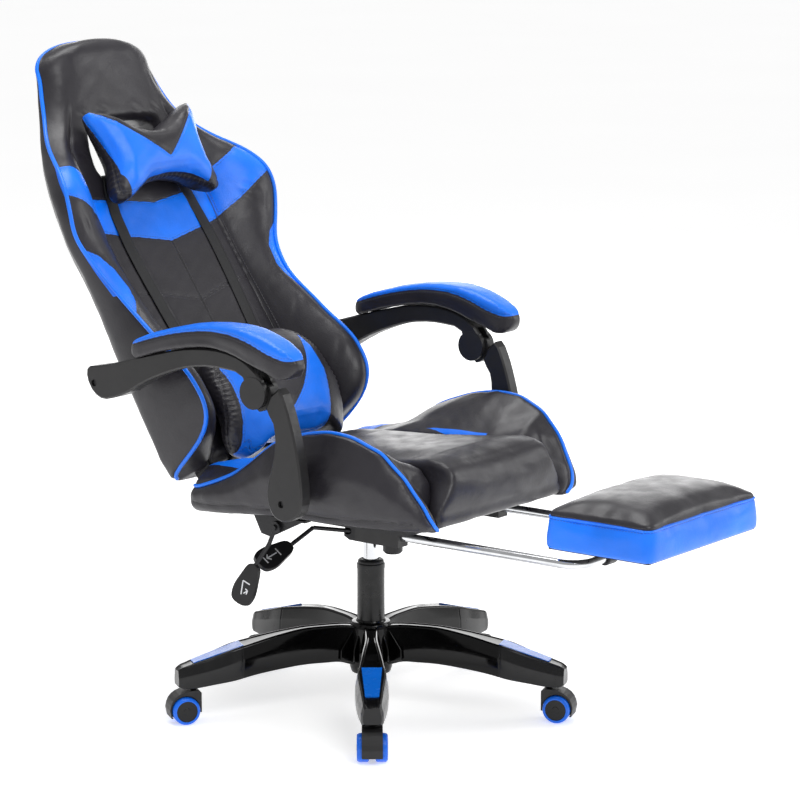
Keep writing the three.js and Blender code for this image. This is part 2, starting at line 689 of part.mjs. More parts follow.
function armBar() {
  const [x0, x1] = [ARM_X - ARM_HALF_W, ARM_X + ARM_HALF_W];
  const rear = [[322, 580], [345, 577], [366, 588], [380, 612], [378, 630], [360, 635]];
  const front = [[-20, 652], [-26, 630], [0, 612]];
  const bar = sidePlate(smoothOutline([...ARM_TOP, ...front, ...BAR_UNDER, ...rear], 44), x0, x1, 3);
  const disc = armDisc;
  const drum = disc(x0 - 1, x1 + 1, ARM_DRUM_R);
  const eyeRoom = disc(ARM_X - ARM_EYE_HALF_W - 0.8, ARM_X + ARM_EYE_HALF_W + 0.8, 36);
  const pivotPin = disc(x0 + 3, x1 - 3, 5);
  const rearHole = rod([x0 - 5, ARM_REAR.x, ARM_REAR.y], [x1 + 5, ARM_REAR.x, ARM_REAR.y], 6.4, 12);
  return join(cut(join(bar, drum), eyeRoom, rearHole), pivotPin);
}

function armLeg() {
  const front = [[-56, 636], [-72, 611], [-83, 581], [-92, 550], [-99, 520], [-104, 488], [-107, 454]];
  const foot = [[-102, 428], [-84, 412], [-62, 407], [-42, 416]];
  const rear = [[-32, 436], [-30, 459], [-36, 486], [-44, 513], [-48, 543], [-44, 575], [-29, 600]];
  const blade = sidePlate(smoothOutline([...front, ...foot, ...rear], 36), ARM_X - 13, ARM_X + 13, 3);
  const disc = armDisc;
  const eye = disc(ARM_X - ARM_EYE_HALF_W, ARM_X + ARM_EYE_HALF_W, 22);
  const neck = sidePlate(outline([[-60, 632], [-62, 590], [-20, 585], [6, 606], [2, 644]]),
    ARM_X - ARM_EYE_HALF_W, ARM_X + ARM_EYE_HALF_W);
  const cheeks = join(
    disc(ARM_X - 40, ARM_X - ARM_EYE_HALF_W, ARM_DRUM_R + 2.5),
    disc(ARM_X + ARM_EYE_HALF_W, ARM_X + 40, ARM_DRUM_R + 2.5),
  );
  const keep = disc(ARM_X - 12, ARM_X + 12, 33);
  const hole = disc(ARM_X - 20, ARM_X + 20, 5 + PIVOT_CLEARANCE);
  const footHole = rod([280, ARM_FOOT.x, ARM_FOOT.y], [350, ARM_FOOT.x, ARM_FOOT.y], 6.2, 16);
  return cut(join(cut(blade, cheeks), eye, keep.intersect(neck)), hole, footHole);
}

function armPad() {
  const top = [
    [256, 694], [196, 712], [147, 724], [94, 732], [43, 735], [-1, 731], [-42, 719], [-74, 705],
    [-98, 690], [-103, 674], [-89, 658], [-69, 652], [-39, 663],
  ];
  const under = [[-12, 671], [31, 686], [72, 693], [117, 692], [162, 685], [212, 673], [260, 659]];
  const shape = smoothOutline([...top, ...under, [270, 664], [272, 680]], 48);
  const side = sidePlate(shape, ARM_X - 27, ARM_X + 29, 4);
  const plan = smoothOutline([
    [0, -105], [16, -98], [26, -70], [29, -20], [29, 200], [27, 262], [18, 274], [-16, 274],
    [-25, 262], [-27, 200], [-27, -20], [-24, -70], [-14, -98],
  ], 36);
  const over = new THREE.ExtrudeGeometry(plan, { depth: 200, bevelEnabled: false });
  const pad = side.intersect(solid(over.translate(ARM_X, 0, 600)));
  const barTop = smoothOutline([
    [322, 580], [380, 600], [360, 637], [317, 645], ...ARM_TOP.slice(1).map(([y, z]) => [y, z + 1.2]),
    [-22, 652], [20, 600],
  ], 56);
  return cut(pad, sidePlate(barTop, ARM_X - ARM_HALF_W - 1, ARM_X + ARM_HALF_W + 1));
}

function boltAlongX(y, z, x0, x1, radius, collars) {
  const shank = rod([x0, y, z], [x1, y, z], radius, 16);
  const rings = collars.map(([a, b, r]) => rod([a, y, z], [b, y, z], r, 20));
  return join(shank, ...rings);
}

function addArms() {
  addPair('arm_bar', armBar(), plastic);
  addPair('arm_leg', armLeg(), plastic);
  addPair('arm_pad', armPad(), leather);
  const outer = ARM_X + ARM_HALF_W;
  const rear = boltAlongX(ARM_REAR.x, ARM_REAR.y, RECLINE_X + 3, outer - 4, 5, [[254, outer - 37, 14]]);
  addPair('arm_rear_bolt', rear, steel);
  const foot = boltAlongX(ARM_FOOT.x, ARM_FOOT.y, 194, ARM_X + 8, 5, [[280, ARM_X - 14, 12]]);
  addPair('arm_foot_bolt', foot, steel);
}

// ---------------------------------------------------------------- footrest
function addFootrest() {
  const sleeve = cut(
    box(RAIL_X - 14, RAIL_X + 14, -186, -92, RAIL_Z - 18, FRAME_BOTTOM - GAP),
    rod([RAIL_X, -200, RAIL_Z], [RAIL_X, -80, RAIL_Z], RAIL_R + 0.6, 12),
  );
  addPair('rail_guide', sleeve, plastic);

  const bend = 34;
  const corner = (sign) => [0, 30, 60, 90].map((deg) => {
    const turn = THREE.MathUtils.degToRad(deg);
    const x = RAIL_X - bend + bend * Math.cos(turn);
    return [sign * x, FOOT_PIVOT_Y + bend - bend * Math.sin(turn), RAIL_Z];
  });
  const rail = (sign) => [RAIL_REAR_Y, -230, -350, -440, -480, -502].map((y) => [sign * RAIL_X, y, RAIL_Z]);
  const cross = [-90, -45, 0, 45, 90].map((x) => [x, FOOT_PIVOT_Y, RAIL_Z]);
  const path = [...rail(-1), ...corner(-1), ...cross, ...corner(1).reverse(), ...rail(1).reverse()];
  addPart('footrest_frame', tube(path, RAIL_R, 8, 48), chrome());

  const clip = (x) => cut(
    join(
      rod([x - 12, FOOT_PIVOT_Y, RAIL_Z], [x + 12, FOOT_PIVOT_Y, RAIL_Z], 13, 16),
      box(x - 12, x + 12, FOOT_PIVOT_Y - 6, FOOT_PIVOT_Y + 6, RAIL_Z + 8, 392),
    ),
    rod([x - 20, FOOT_PIVOT_Y, RAIL_Z], [x + 20, FOOT_PIVOT_Y, RAIL_Z], RAIL_R + 0.9, 12),
  );
  const strap = box(-112, 112, -640, -535, 388, 393);
  const board = box(-168, 168, -698, -502, 392.5, 401);
  addPart('footrest_bracket', join(strap, clip(62), clip(-62), board), steel());
  const pad = new THREE.Shape();
  const [x0, y0, r] = [FOOT_HALF_W - 4, 103, 14];
  pad.moveTo(-x0 + r, -y0);
  pad.lineTo(x0 - r, -y0);
  pad.quadraticCurveTo(x0, -y0, x0, -y0 + r);
  pad.lineTo(x0, y0 - r);
  pad.quadraticCurveTo(x0, y0, x0 - r, y0);
  pad.lineTo(-x0 + r, y0);
  pad.quadraticCurveTo(-x0, y0, -x0, y0 - r);
  pad.lineTo(-x0, -y0 + r);
  pad.quadraticCurveTo(-x0, -y0, -x0 + r, -y0);
  const soft = new THREE.ExtrudeGeometry(pad, {
    depth: 46,
    bevelThickness: 4,
    bevelSize: 4,
    bevelSegments: 1,
    curveSegments: 3,
  });
  addPart('footrest_pad', solid(soft.translate(0, -600, 405.5)), blueLeather());
}

addBase();
addLift();
addMechanism();
addLevers();
addSeat();
addLeverBracket();
addBack();
addPillows();
addArms();
addFootrest();

// The finished part stands with the middle of its footprint on the origin.
const bounds = new THREE.Box3().setFromObject(chair, true);
const centre = bounds.getCenter(new THREE.Vector3());
const standing = new THREE.Group();
chair.position.set(-centre.x, -centre.y, -bounds.min.z);
standing.add(chair);

export default standing;
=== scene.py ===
import math

import bmesh
import bpy
import numpy as np
from mathutils import Matrix, Vector
from mathutils.bvhtree import BVHTree

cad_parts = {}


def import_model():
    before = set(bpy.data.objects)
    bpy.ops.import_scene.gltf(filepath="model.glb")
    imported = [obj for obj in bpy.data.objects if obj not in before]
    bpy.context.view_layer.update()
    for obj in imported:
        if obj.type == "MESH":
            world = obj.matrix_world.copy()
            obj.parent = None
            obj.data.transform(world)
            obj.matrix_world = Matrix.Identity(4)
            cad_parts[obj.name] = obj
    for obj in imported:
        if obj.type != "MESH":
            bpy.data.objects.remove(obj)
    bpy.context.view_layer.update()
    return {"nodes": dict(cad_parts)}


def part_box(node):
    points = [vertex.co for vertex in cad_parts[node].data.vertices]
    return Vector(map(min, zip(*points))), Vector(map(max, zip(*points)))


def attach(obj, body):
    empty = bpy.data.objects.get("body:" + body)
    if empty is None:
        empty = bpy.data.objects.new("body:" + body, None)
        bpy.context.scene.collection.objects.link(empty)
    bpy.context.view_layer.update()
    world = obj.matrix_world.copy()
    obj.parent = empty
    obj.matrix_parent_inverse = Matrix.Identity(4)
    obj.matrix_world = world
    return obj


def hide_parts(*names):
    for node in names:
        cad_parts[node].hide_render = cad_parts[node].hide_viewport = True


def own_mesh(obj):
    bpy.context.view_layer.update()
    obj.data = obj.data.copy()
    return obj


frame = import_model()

SCENE = bpy.context.scene

# The chair is described in millimetres from the foot of its gas column, +Z up, the sitter facing -Y.
PISTON_LOW, PISTON_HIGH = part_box("gas_piston")
PISTON_FOOT_MM = 185.0
ORIGIN = np.array([
    (PISTON_LOW.x + PISTON_HIGH.x) / 2,
    (PISTON_LOW.y + PISTON_HIGH.y) / 2,
    PISTON_LOW.z - PISTON_FOOT_MM / 1000,
])


def world(points):
    """Millimetres from the column's foot to metres in the row frame."""
    return np.asarray(points, float) * 0.001 + ORIGIN


def column(points):
    """Metres in the row frame to millimetres from the column's foot."""
    return (np.asarray(points, float) - ORIGIN) * 1000


# ---------------------------------------------------------------- curves and meshes
def hermite(rows, at):
    """Smooth values of a table of rows [key, a, b, ...] at the given keys."""
    rows = np.asarray(rows, float)
    key, val = rows[:, 0], rows[:, 1:]
    slope = np.gradient(val, key, axis=0)
    at = np.clip(np.asarray(at, float), key[0], key[-1])
    i = np.clip(np.searchsorted(key, at, "right") - 1, 0, len(key) - 2)
    h = key[i + 1] - key[i]
    t = ((at - key[i]) / h)[..., None]
    h = h[..., None]
    a, b, m, n = val[i], val[i + 1], slope[i] * h, slope[i + 1] * h
    blend = 3 * t**2 - 2 * t**3
    return (1 - blend) * a + (t**3 - 2 * t**2 + t) * m + blend * b + (t**3 - t**2) * n


def spline(points, steps=8, closed=False):
    """Centripetal Catmull-Rom curve through the points."""
    p = np.asarray(points, float)
    if closed:
        p = np.vstack([p[-1], p, p[0], p[1]])
    else:
        p = np.vstack([2 * p[0] - p[1], p, 2 * p[-1] - p[-2]])
    out = []
    for i in range(1, len(p) - 2):
        knots = [0.0]
        for j in range(3):
            knots.append(knots[-1] + max(np.linalg.norm(p[i + j] - p[i + j - 1]), 1e-6) ** 0.5)
        t0, t1, t2, t3 = knots
        for k in range(steps):
            t = t1 + (t2 - t1) * k / steps
            a1 = (t1 - t) / (t1 - t0) * p[i - 1] + (t - t0) / (t1 - t0) * p[i]
            a2 = (t2 - t) / (t2 - t1) * p[i] + (t - t1) / (t2 - t1) * p[i + 1]
            a3 = (t3 - t) / (t3 - t2) * p[i + 1] + (t - t2) / (t3 - t2) * p[i + 2]
            b1 = (t2 - t) / (t2 - t0) * a1 + (t - t0) / (t2 - t0) * a2
            b2 = (t3 - t) / (t3 - t1) * a2 + (t - t1) / (t3 - t1) * a3
            out.append((t2 - t) / (t2 - t1) * b1 + (t - t1) / (t2 - t1) * b2)
    if not closed:
        out.append(p[-2])
    return np.array(out)


def mesh_object(name, verts_mm, faces, materials=(), smooth=True):
    mesh = bpy.data.meshes.new(name)
    mesh.from_pydata([tuple(v) for v in world(verts_mm)], [], [tuple(f) for f in faces])
    mesh.update()
    bm = bmesh.new()
    bm.from_mesh(mesh)
    bmesh.ops.recalc_face_normals(bm, faces=bm.faces)
    bm.to_mesh(mesh)
    bm.free()
    obj = bpy.data.objects.new(name, mesh)
    SCENE.collection.objects.link(obj)
    for m in materials:
        mesh.materials.append(m)
    if smooth:
        mesh.polygons.foreach_set("use_smooth", [True] * len(mesh.polygons))
    return obj


def rings_object(name, rings, materials=(), caps=True, wrap=False):
    """A skin over rings of the same number of points, in millimetres."""
    rings = np.asarray(rings, float)
    rows, count = rings.shape[:2]
    faces = []
    for r in range(rows if wrap else rows - 1):
        q = (r + 1) % rows
        for i in range(count):
            j = (i + 1) % count
            faces.append((r * count + i, r * count + j, q * count + j, q * count + i))
    if caps and not wrap:
        faces.append(tuple(range(count)))
        faces.append(tuple(reversed(range((rows - 1) * count, rows * count))))
    return mesh_object(name, rings.reshape(-1, 3), faces, materials)


def tube(name, path, radius, material, sides=12, closed=False, flat=1.0):
    """A round cord or bar along a path of points, with its ends rounded."""
    path = np.asarray(path, float)
    n = len(path)
    ahead = np.roll(path, -1, 0) - np.roll(path, 1, 0)
    if not closed:
        ahead[0], ahead[-1] = path[1] - path[0], path[-1] - path[-2]
    ahead /= np.linalg.norm(ahead, axis=1)[:, None]
    normal = np.cross(ahead[0], [0.0, 0.0, 1.0])
    if np.linalg.norm(normal) < 0.1:
        normal = np.cross(ahead[0], [0.0, 1.0, 0.0])
    radii = np.broadcast_to(np.asarray(radius, float), (n,)).copy()
    rings = []
    turn = np.linspace(0, 2 * math.pi, sides, endpoint=False)
    for i in range(n):
        normal = normal - ahead[i] * (normal @ ahead[i])
        normal /= np.linalg.norm(normal)
        side = np.cross(ahead[i], normal)
        circle = np.outer(np.cos(turn), normal) * flat + np.outer(np.sin(turn), side)
        rings.append(path[i] + radii[i] * circle)
    if not closed:
        def cap(centre, ring, out):
            return [centre + out * 0.55 + (ring - centre) * 0.8, centre + out * 0.9 + (ring - centre) * 0.4]
        first = cap(path[0], rings[0], -ahead[0] * radii[0])
        last = cap(path[-1], rings[-1], ahead[-1] * radii[-1])
        rings = [first[1], first[0]] + rings + last
    return rings_object(name, rings, [material], wrap=closed)


def lathe(name, profile, centre, axis, materials, sides=48, pick=None):
    """A solid of revolution from [radius, height] pairs about an axis through a centre."""
    axis = np.asarray(axis, float) / np.linalg.norm(axis)
    u = np.cross(axis, [0.31, 0.52, 0.79])
    u /= np.linalg.norm(u)
    v = np.cross(axis, u)
    turn = np.linspace(0, 2 * math.pi, sides, endpoint=False)
    circle = np.outer(np.cos(turn), u) + np.outer(np.sin(turn), v)
    rings = [np.asarray(centre) + max(r, 0.02) * circle + h * axis for r, h in profile]
    obj = rings_object(name, rings, materials)
    if pick:
        for k in range(len(profile) - 1):
            for i in range(sides):
                obj.data.polygons[k * sides + i].material_index = pick(k)
    return obj


def finish_edges(obj, width, segments=3, angle=32):
    """Rounded edges and clean shading on a hard piece."""
    bevel = obj.modifiers.new("edges", "BEVEL")
    bevel.width = width / 1000
    bevel.segments = segments
    bevel.limit_method = "ANGLE"
    bevel.angle_limit = math.radians(angle)
    bevel.harden_normals = False
    bpy.context.view_layer.objects.active = obj
    obj.data.polygons.foreach_set("use_smooth", [True] * len(obj.data.polygons))
    weighted = obj.modifiers.new("shading", "WEIGHTED_NORMAL")
    weighted.keep_sharp = True
    return obj


def coords(obj):
    co = np.empty(len(obj.data.vertices) * 3)
    obj.data.vertices.foreach_get("co", co)
    return co.reshape(-1, 3)


def set_coords(obj, co):
    obj.data.vertices.foreach_set("co", np.asarray(co, float).ravel())
    obj.data.update()


def normals(obj):
    no = np.empty(len(obj.data.vertices) * 3)
    obj.data.vertices.foreach_get("normal", no)
    return no.reshape(-1, 3)


def attribute(obj, name, values):
    found = obj.data.attributes.get(name) or obj.data.attributes.new(name, "FLOAT", "POINT")
    found.data.foreach_set("value", np.asarray(values, np.float32))


def applied(obj):
    """Replaces the object's mesh with what its modifiers make of it."""
    graph = bpy.context.evaluated_depsgraph_get()
    mesh = bpy.data.meshes.new_from_object(obj.evaluated_get(graph))
    obj.modifiers.clear()
    obj.data = mesh
    return obj


def remeshed(obj, voxel_mm, smooth_steps=0):
    remesh = obj.modifiers.new("remesh", "REMESH")
    remesh.mode = "VOXEL"
    remesh.voxel_size = voxel_mm / 1000
    remesh.use_smooth_shade = True
    applied(obj)
    if smooth_steps:
        smooth = obj.modifiers.new("smooth", "SMOOTH")
        smooth.factor = 0.5
        smooth.iterations = smooth_steps
        applied(obj)
    return obj


def eased(obj, values, rounds):
    """Values at the piece's points, averaged with their neighbours' a number of times."""
    edges = np.empty(len(obj.data.edges) * 2, np.int32)
    obj.data.edges.foreach_get("vertices", edges)
    here, there = np.concatenate([edges.reshape(-1, 2), edges.reshape(-1, 2)[:, ::-1]]).T
    count = np.maximum(np.bincount(here, minlength=len(values)), 1)
    for _ in range(rounds):
        near = np.stack([np.bincount(here, v[there], len(values)) for v in values.T], -1) / count[:, None]
        values = 0.4 * values + 0.6 * near
    return values


def inflated(obj, pressure, cap_mm, hold=None, ease=12, frames=20):
    """Cloth simulation under pressure, with the result kept and each point's travel capped."""
    rest = coords(obj)
    cloth = obj.modifiers.new("cloth", "CLOTH")
    settings = cloth.settings
    settings.quality = 5
    settings.mass = 0.3
    settings.use_pressure = True
    settings.uniform_pressure_force = pressure
    settings.effector_weights.gravity = 0
    cloth.point_cache.frame_start = 1
    cloth.point_cache.frame_end = frames
    for step in range(1, frames + 1):
        SCENE.frame_set(step)
    graph = bpy.context.evaluated_depsgraph_get()
    mesh = bpy.data.meshes.new_from_object(obj.evaluated_get(graph))
    moved = np.empty(len(mesh.vertices) * 3)
    mesh.vertices.foreach_get("co", moved)
    travel = moved.reshape(-1, 3) - rest
    length = np.linalg.norm(travel, axis=1)
    cap = cap_mm / 1000
    travel *= (cap * np.tanh(length / cap) / np.maximum(length, 1e-9))[:, None]
    travel = eased(obj, travel, ease)
    if hold is not None:
        travel *= (1 - hold(column(rest)))[:, None]
    obj.modifiers.clear()
    bpy.data.meshes.remove(mesh)
    SCENE.frame_set(1)
    set_coords(obj, rest + travel)
    return obj


def subdivided(obj, levels=1):
    sub = obj.modifiers.new("subdivision", "SUBSURF")
    sub.levels = sub.render_levels = levels
    return obj


def cad_copy(node, name):
    """A new piece with the shape of a CAD node."""
    source = frame["nodes"][node]
    obj = bpy.data.objects.new(name, source.data.copy())
    SCENE.collection.objects.link(obj)
    obj.data.materials.clear()
    return obj


def smoothstep(low, high, x):
    t = np.clip((np.asarray(x, float) - low) / (high - low), 0, 1)
    return t * t * (3 - 2 * t)


# ---------------------------------------------------------------- distances in a flat pattern
def to_line(points, line):
    """Distance to a polyline, and the length along it, of flat points."""
    points, line = np.asarray(points, float), np.asarray(line, float)
    best = np.full(len(points), 1e9)
    along = np.zeros(len(points))
    run = 0.0
    for a, b in zip(line[:-1], line[1:]):
        d = b - a
        size = np.linalg.norm(d)
        t = np.clip(((points - a) @ d) / (size * size), 0, 1)
        gap = np.linalg.norm(points - a - np.outer(t, d), axis=1)
        closer = gap < best
        best = np.where(closer, gap, best)
        along = np.where(closer, run + t * size, along)
        run += size
    return best, along


def inside(points, polygon):
    points, polygon = np.asarray(points, float), np.asarray(polygon, float)
    x, y = points[:, 0], points[:, 1]
    odd = np.zeros(len(points), bool)
    for (x0, y0), (x1, y1) in zip(polygon, np.roll(polygon, -1, 0)):
        if y0 == y1:
            continue
        odd ^= ((y0 > y) != (y1 > y)) & (x < (x1 - x0) * (y - y0) / (y1 - y0) + x0)
    return odd


def signed(points, polygon):
    """Distance to a polygon's edge, positive inside it."""
    gap, _ = to_line(points, np.vstack([polygon, polygon[:1]]))
    return np.where(inside(points, polygon), gap, -gap)


# ---------------------------------------------------------------- materials
def node_material(name):
    mat = bpy.data.materials.new(name)
    mat.use_nodes = True
    tree = mat.node_tree
    shader = tree.nodes["Principled BSDF"]
    return mat, tree, shader


def add_node(tree, kind, **values):
    node = tree.nodes.new(kind)
    for key, value in values.items():
        if key in node.inputs:
            node.inputs[key].default_value = value
        else:
            setattr(node, key, value)
    return node


def math_node(tree, operation, a, b=None, clamp=False):
    node = tree.nodes.new("ShaderNodeMath")
    node.operation = operation
    node.use_clamp = clamp
    for slot, value in enumerate((a, b)):
        if value is None:
            continue
        if isinstance(value, (int, float)):
            node.inputs[slot].default_value = value
        else:
            tree.links.new(value, node.inputs[slot])
    return node.outputs[0]


def ramp(tree, value, low, high, to_low=0.0, to_high=1.0):
    node = add_node(tree, "ShaderNodeMapRange", clamp=True)
    for key, v in (("From Min", low), ("From Max", high), ("To Min", to_low), ("To Max", to_high)):
        node.inputs[key].default_value = v
    tree.links.new(value, node.inputs["Value"])
    return node.outputs["Result"]


def mix_colour(tree, factor, a, b):
    node = tree.nodes.new("ShaderNodeMix")
    node.data_type = "RGBA"
    for slot, value in ((0, factor), (6, a), (7, b)):
        if isinstance(value, tuple):
            node.inputs[slot].default_value = (*value, 1.0)
        elif isinstance(value, (int, float)):
            node.inputs[slot].default_value = value
        else:
            tree.links.new(value, node.inputs[slot])
    return node.outputs[2]


def noise(tree, scale, detail=2.0, distortion=0.0):
    place = add_node(tree, "ShaderNodeTexCoord")
    node = add_node(tree, "ShaderNodeTexNoise", Scale=scale, Detail=detail, Distortion=distortion)
    tree.links.new(place.outputs["Object"], node.inputs["Vector"])
    return node.outputs["Fac"]


def bump(tree, height, strength, distance, previous=None):
    node = add_node(tree, "ShaderNodeBump", Strength=strength, Distance=distance)
    tree.links.new(height, node.inputs["Height"])
    if previous is not None:
        tree.links.new(previous, node.inputs["Normal"])
    return node.outputs["Normal"]


BLACK = (0.0182, 0.0166, 0.0212)
BLUE = (0.002, 0.178, 0.92)
STITCH_ROW_MM, STITCH_HALF_PITCH_MM = 4.0, 3.0


def scaled(colour, factor, lift=0.0):
    return tuple(c * factor + lift for c in colour)


def leather(name, colour, second=None, rough=0.36, seams=False):
    """Coated leather: pebbled grain, soft creases, uneven sheen, optional colour fields, and seams with
    painted shade along their grooves.

    The mesh attribute field_mm is above zero where the second colour goes, and seam_mm and
    seam_run_mm give the distance to the nearest seam and the length along it.
    """
    mat, tree, shader = node_material(name)
    place = add_node(tree, "ShaderNodeTexCoord")
    pebble = add_node(tree, "ShaderNodeTexVoronoi", Scale=620.0)
    pebble.feature = "F1"
    tree.links.new(place.outputs["Object"], pebble.inputs["Vector"])
    grain = bump(tree, pebble.outputs["Distance"], 0.22, 0.0006)
    grain = bump(tree, noise(tree, 240.0, 4.0), 0.2, 0.0008, grain)
    grain = bump(tree, noise(tree, 17.0, 3.0, 0.6), 0.22, 0.006, grain)
    shade = ramp(tree, noise(tree, 11.0, 4.0), 0.3, 0.7)
    base = mix_colour(tree, shade, scaled(colour, 0.86), scaled(colour, 1.16))
    if second is not None:
        field = add_node(tree, "ShaderNodeAttribute", attribute_name="field_mm")
        other = mix_colour(tree, shade, scaled(second, 0.88), scaled(second, 1.12))
        base = mix_colour(tree, ramp(tree, field.outputs["Fac"], -0.5, 0.5), base, other)
    if seams:
        gap = add_node(tree, "ShaderNodeAttribute", attribute_name="seam_mm").outputs["Fac"]
        run = add_node(tree, "ShaderNodeAttribute", attribute_name="seam_run_mm").outputs["Fac"]
        # The near-black line along each seam's centre is painted shade in the seam's groove.
        line = ramp(tree, gap, 0.5, 1.8, 1.0, 0.0)
        beside = math_node(tree, "ABSOLUTE", math_node(tree, "SUBTRACT", gap, STITCH_ROW_MM))
        row = ramp(tree, beside, 0.35, 0.8, 1.0, 0.0)
        dash = ramp(tree, math_node(tree, "PINGPONG", run, STITCH_HALF_PITCH_MM), 0.7, 1.0)
        stitch = math_node(tree, "MULTIPLY", row, dash)
        base = mix_colour(tree, math_node(tree, "MULTIPLY", line, 0.75), base, (0.004, 0.004, 0.005))
        thread = tuple(min(1, 0.02 + c * 1.5) for c in colour)
        base = mix_colour(tree, math_node(tree, "MULTIPLY", stitch, 0.35), base, thread)
        grain = bump(tree, math_node(tree, "SUBTRACT", stitch, line), 0.5, 0.0012, grain)
    tree.links.new(base, shader.inputs["Base Color"])
    sheen = ramp(tree, noise(tree, 34.0, 5.0), 0.3, 0.7, rough - 0.05, rough + 0.09)
    tree.links.new(sheen, shader.inputs["Roughness"])
    tree.links.new(grain, shader.inputs["Normal"])
    shader.inputs["Specular IOR Level"].default_value = 0.42
    shader.inputs["Coat Weight"].default_value = 0.1
    shader.inputs["Coat Roughness"].default_value = 0.26
    return mat


def plastic(name, colour, rough, grain=0.12, scale=1500.0, coat=0.0, gloss=0.4):
    """Moulded plastic: fine texture, faint flow marks, and dust-worn patches in the gloss."""
    mat, tree, shader = node_material(name)
    shade = ramp(tree, noise(tree, 8.0, 5.0), 0.3, 0.7)
    colour_out = mix_colour(tree, shade, scaled(colour, 0.85), scaled(colour, 1.2, 0.001))
    tree.links.new(colour_out, shader.inputs["Base Color"])
    worn = ramp(tree, noise(tree, 60.0, 6.0), 0.35, 0.75, max(rough - 0.05, 0.04), rough + 0.1)
    tree.links.new(worn, shader.inputs["Roughness"])
    out = bump(tree, noise(tree, scale, 2.0), grain, 0.0004)
    out = bump(tree, noise(tree, 20.0, 2.0), 0.05, 0.003, out)
    tree.links.new(out, shader.inputs["Normal"])
    shader.inputs["Specular IOR Level"].default_value = gloss
    shader.inputs["Coat Weight"].default_value = coat
    shader.inputs["Coat Roughness"].default_value = 0.06
    return mat


def metal(name, colour, rough, brushed=(1.0, 1.0, 1.0), metallic=1.0):
    """Metal with fine drawn lines and a little tarnish."""
    mat, tree, shader = node_material(name)
    place = add_node(tree, "ShaderNodeTexCoord")
    stretch = add_node(tree, "ShaderNodeMapping")
    stretch.inputs["Scale"].default_value = brushed
    tree.links.new(place.outputs["Object"], stretch.inputs["Vector"])
    lines = add_node(tree, "ShaderNodeTexNoise", Scale=400.0, Detail=3.0)
    tree.links.new(stretch.outputs["Vector"], lines.inputs["Vector"])
    uneven = ramp(tree, lines.outputs["Fac"], 0.3, 0.7, rough * 0.7, rough * 1.5)
    tree.links.new(uneven, shader.inputs["Roughness"])
    dirt = ramp(tree, noise(tree, 30.0, 5.0), 0.35, 0.7)
    colour_out = mix_colour(tree, dirt, scaled(colour, 0.82), colour)
    tree.links.new(colour_out, shader.inputs["Base Color"])
    tree.links.new(bump(tree, lines.outputs["Fac"], 0.06, 0.0003), shader.inputs["Normal"])
    shader.inputs["Metallic"].default_value = metallic
    return mat


LEATHER_BACK = leather("leather_back_panels", BLACK, BLUE, seams=True)
LEATHER_PANELS = leather("leather_panels", BLACK, BLUE, seams=True)
LEATHER_BLUE = leather("leather_blue", BLUE, rough=0.34)
STRAP = leather("strap_elastic", (0.012, 0.012, 0.013), rough=0.6)
NYLON = plastic("nylon_black", (0.0012, 0.0012, 0.0013), 0.1, 0.03, 900.0, 0.12, 0.2)
NYLON_TIP = plastic("nylon_tip", (0.0045, 0.0045, 0.005), 0.2, 0.08, 1200.0, 0.1, 0.3)
GAS_BLACK = plastic("gas_tube_paint", (0.0052, 0.0052, 0.0056), 0.3, 0.1, 1400.0, 0.0, 0.35)
PLASTIC = plastic("plastic_black", (0.0118, 0.0114, 0.0121), 0.44, 0.22)
PLASTIC_SMOOTH = plastic("plastic_smooth", (0.0155, 0.015, 0.0158), 0.38, 0.14)
PLASTIC_BLUE = plastic("plastic_blue", (0.004, 0.13, 0.72), 0.26, 0.08, 1200.0, 0.1, 0.35)
INSERT_BLUE = plastic("insert_blue", (0.004, 0.17, 0.78), 0.24, 0.06, 1200.0, 0.2, 0.4)
STEEL = metal("steel_dark", (0.016, 0.016, 0.018), 0.38, metallic=0.3)
CHROME = metal("chrome", (0.72, 0.73, 0.75), 0.09, (1.0, 0.02, 1.0))
BOLT = metal("bolt_zinc", (0.35, 0.35, 0.36), 0.28)
PRINT = plastic("paddle_print", (0.75, 0.76, 0.78), 0.5, 0.05)


def piece(obj, body, slot, *nodes):
    """A visual piece that rides a body, in place of the CAD nodes named. The slot argument is not used."""
    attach(obj, body)
    if nodes:
        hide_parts(*nodes)
    return obj


# ---------------------------------------------------------------- soft pieces
def soft_copy(node, name, shrink=0.975, voxel=5.0, smooth=5, pressure=4.0, cap=16.0, hold=None, shape=None,
              ease=12):
    """A new soft piece from a CAD solid: a little smaller, evenly meshed, then inflated as cloth."""
    obj = cad_copy(node, name)
    obj.data.transform(frame["nodes"][node].matrix_world)
    co = coords(obj)
    middle = (co.min(0) + co.max(0)) / 2
    set_coords(obj, middle + (co - middle) * shrink)
    remeshed(obj, voxel, smooth)
    if shape:
        set_coords(obj, world(shape(column(coords(obj)))))
        remeshed(obj, voxel, 2)
    inflated(obj, pressure, cap, hold, ease)
    obj.data.polygons.foreach_set("use_smooth", [True] * len(obj.data.polygons))
    return obj


def upholstered(obj, body, slot, node):
    """A soft piece in panelled leather, standing for a CAD node."""
    obj.data.materials.clear()
    obj.data.materials.append(LEATHER_PANELS)
    subdivided(obj)
    piece(obj, body, slot, node)


def wobble(points, seed=0.0):
    """A slow uneven field, about -1 to 1, for leather that is never quite smooth."""
    x, y, z = (np.asarray(points, float) / 1000).T
    return (
        0.5 * np.sin(61 * x + 23 * z + 4.1 + seed) * np.sin(47 * y - 31 * z + seed)
        + 0.3 * np.sin(113 * z + 71 * y + 1.3 * seed) * np.sin(97 * x - 19 * y)
        + 0.2 * np.sin(171 * y - 137 * x + 2.2 + seed) * np.sin(151 * z + 0.7)
    )


def pushed(obj, amounts_mm):
    set_coords(obj, coords(obj) + normals(obj) * (np.asarray(amounts_mm) / 1000)[:, None])


def tree_of(obj):
    graph = bpy.context.evaluated_depsgraph_get()
    return BVHTree.FromObject(obj, graph)


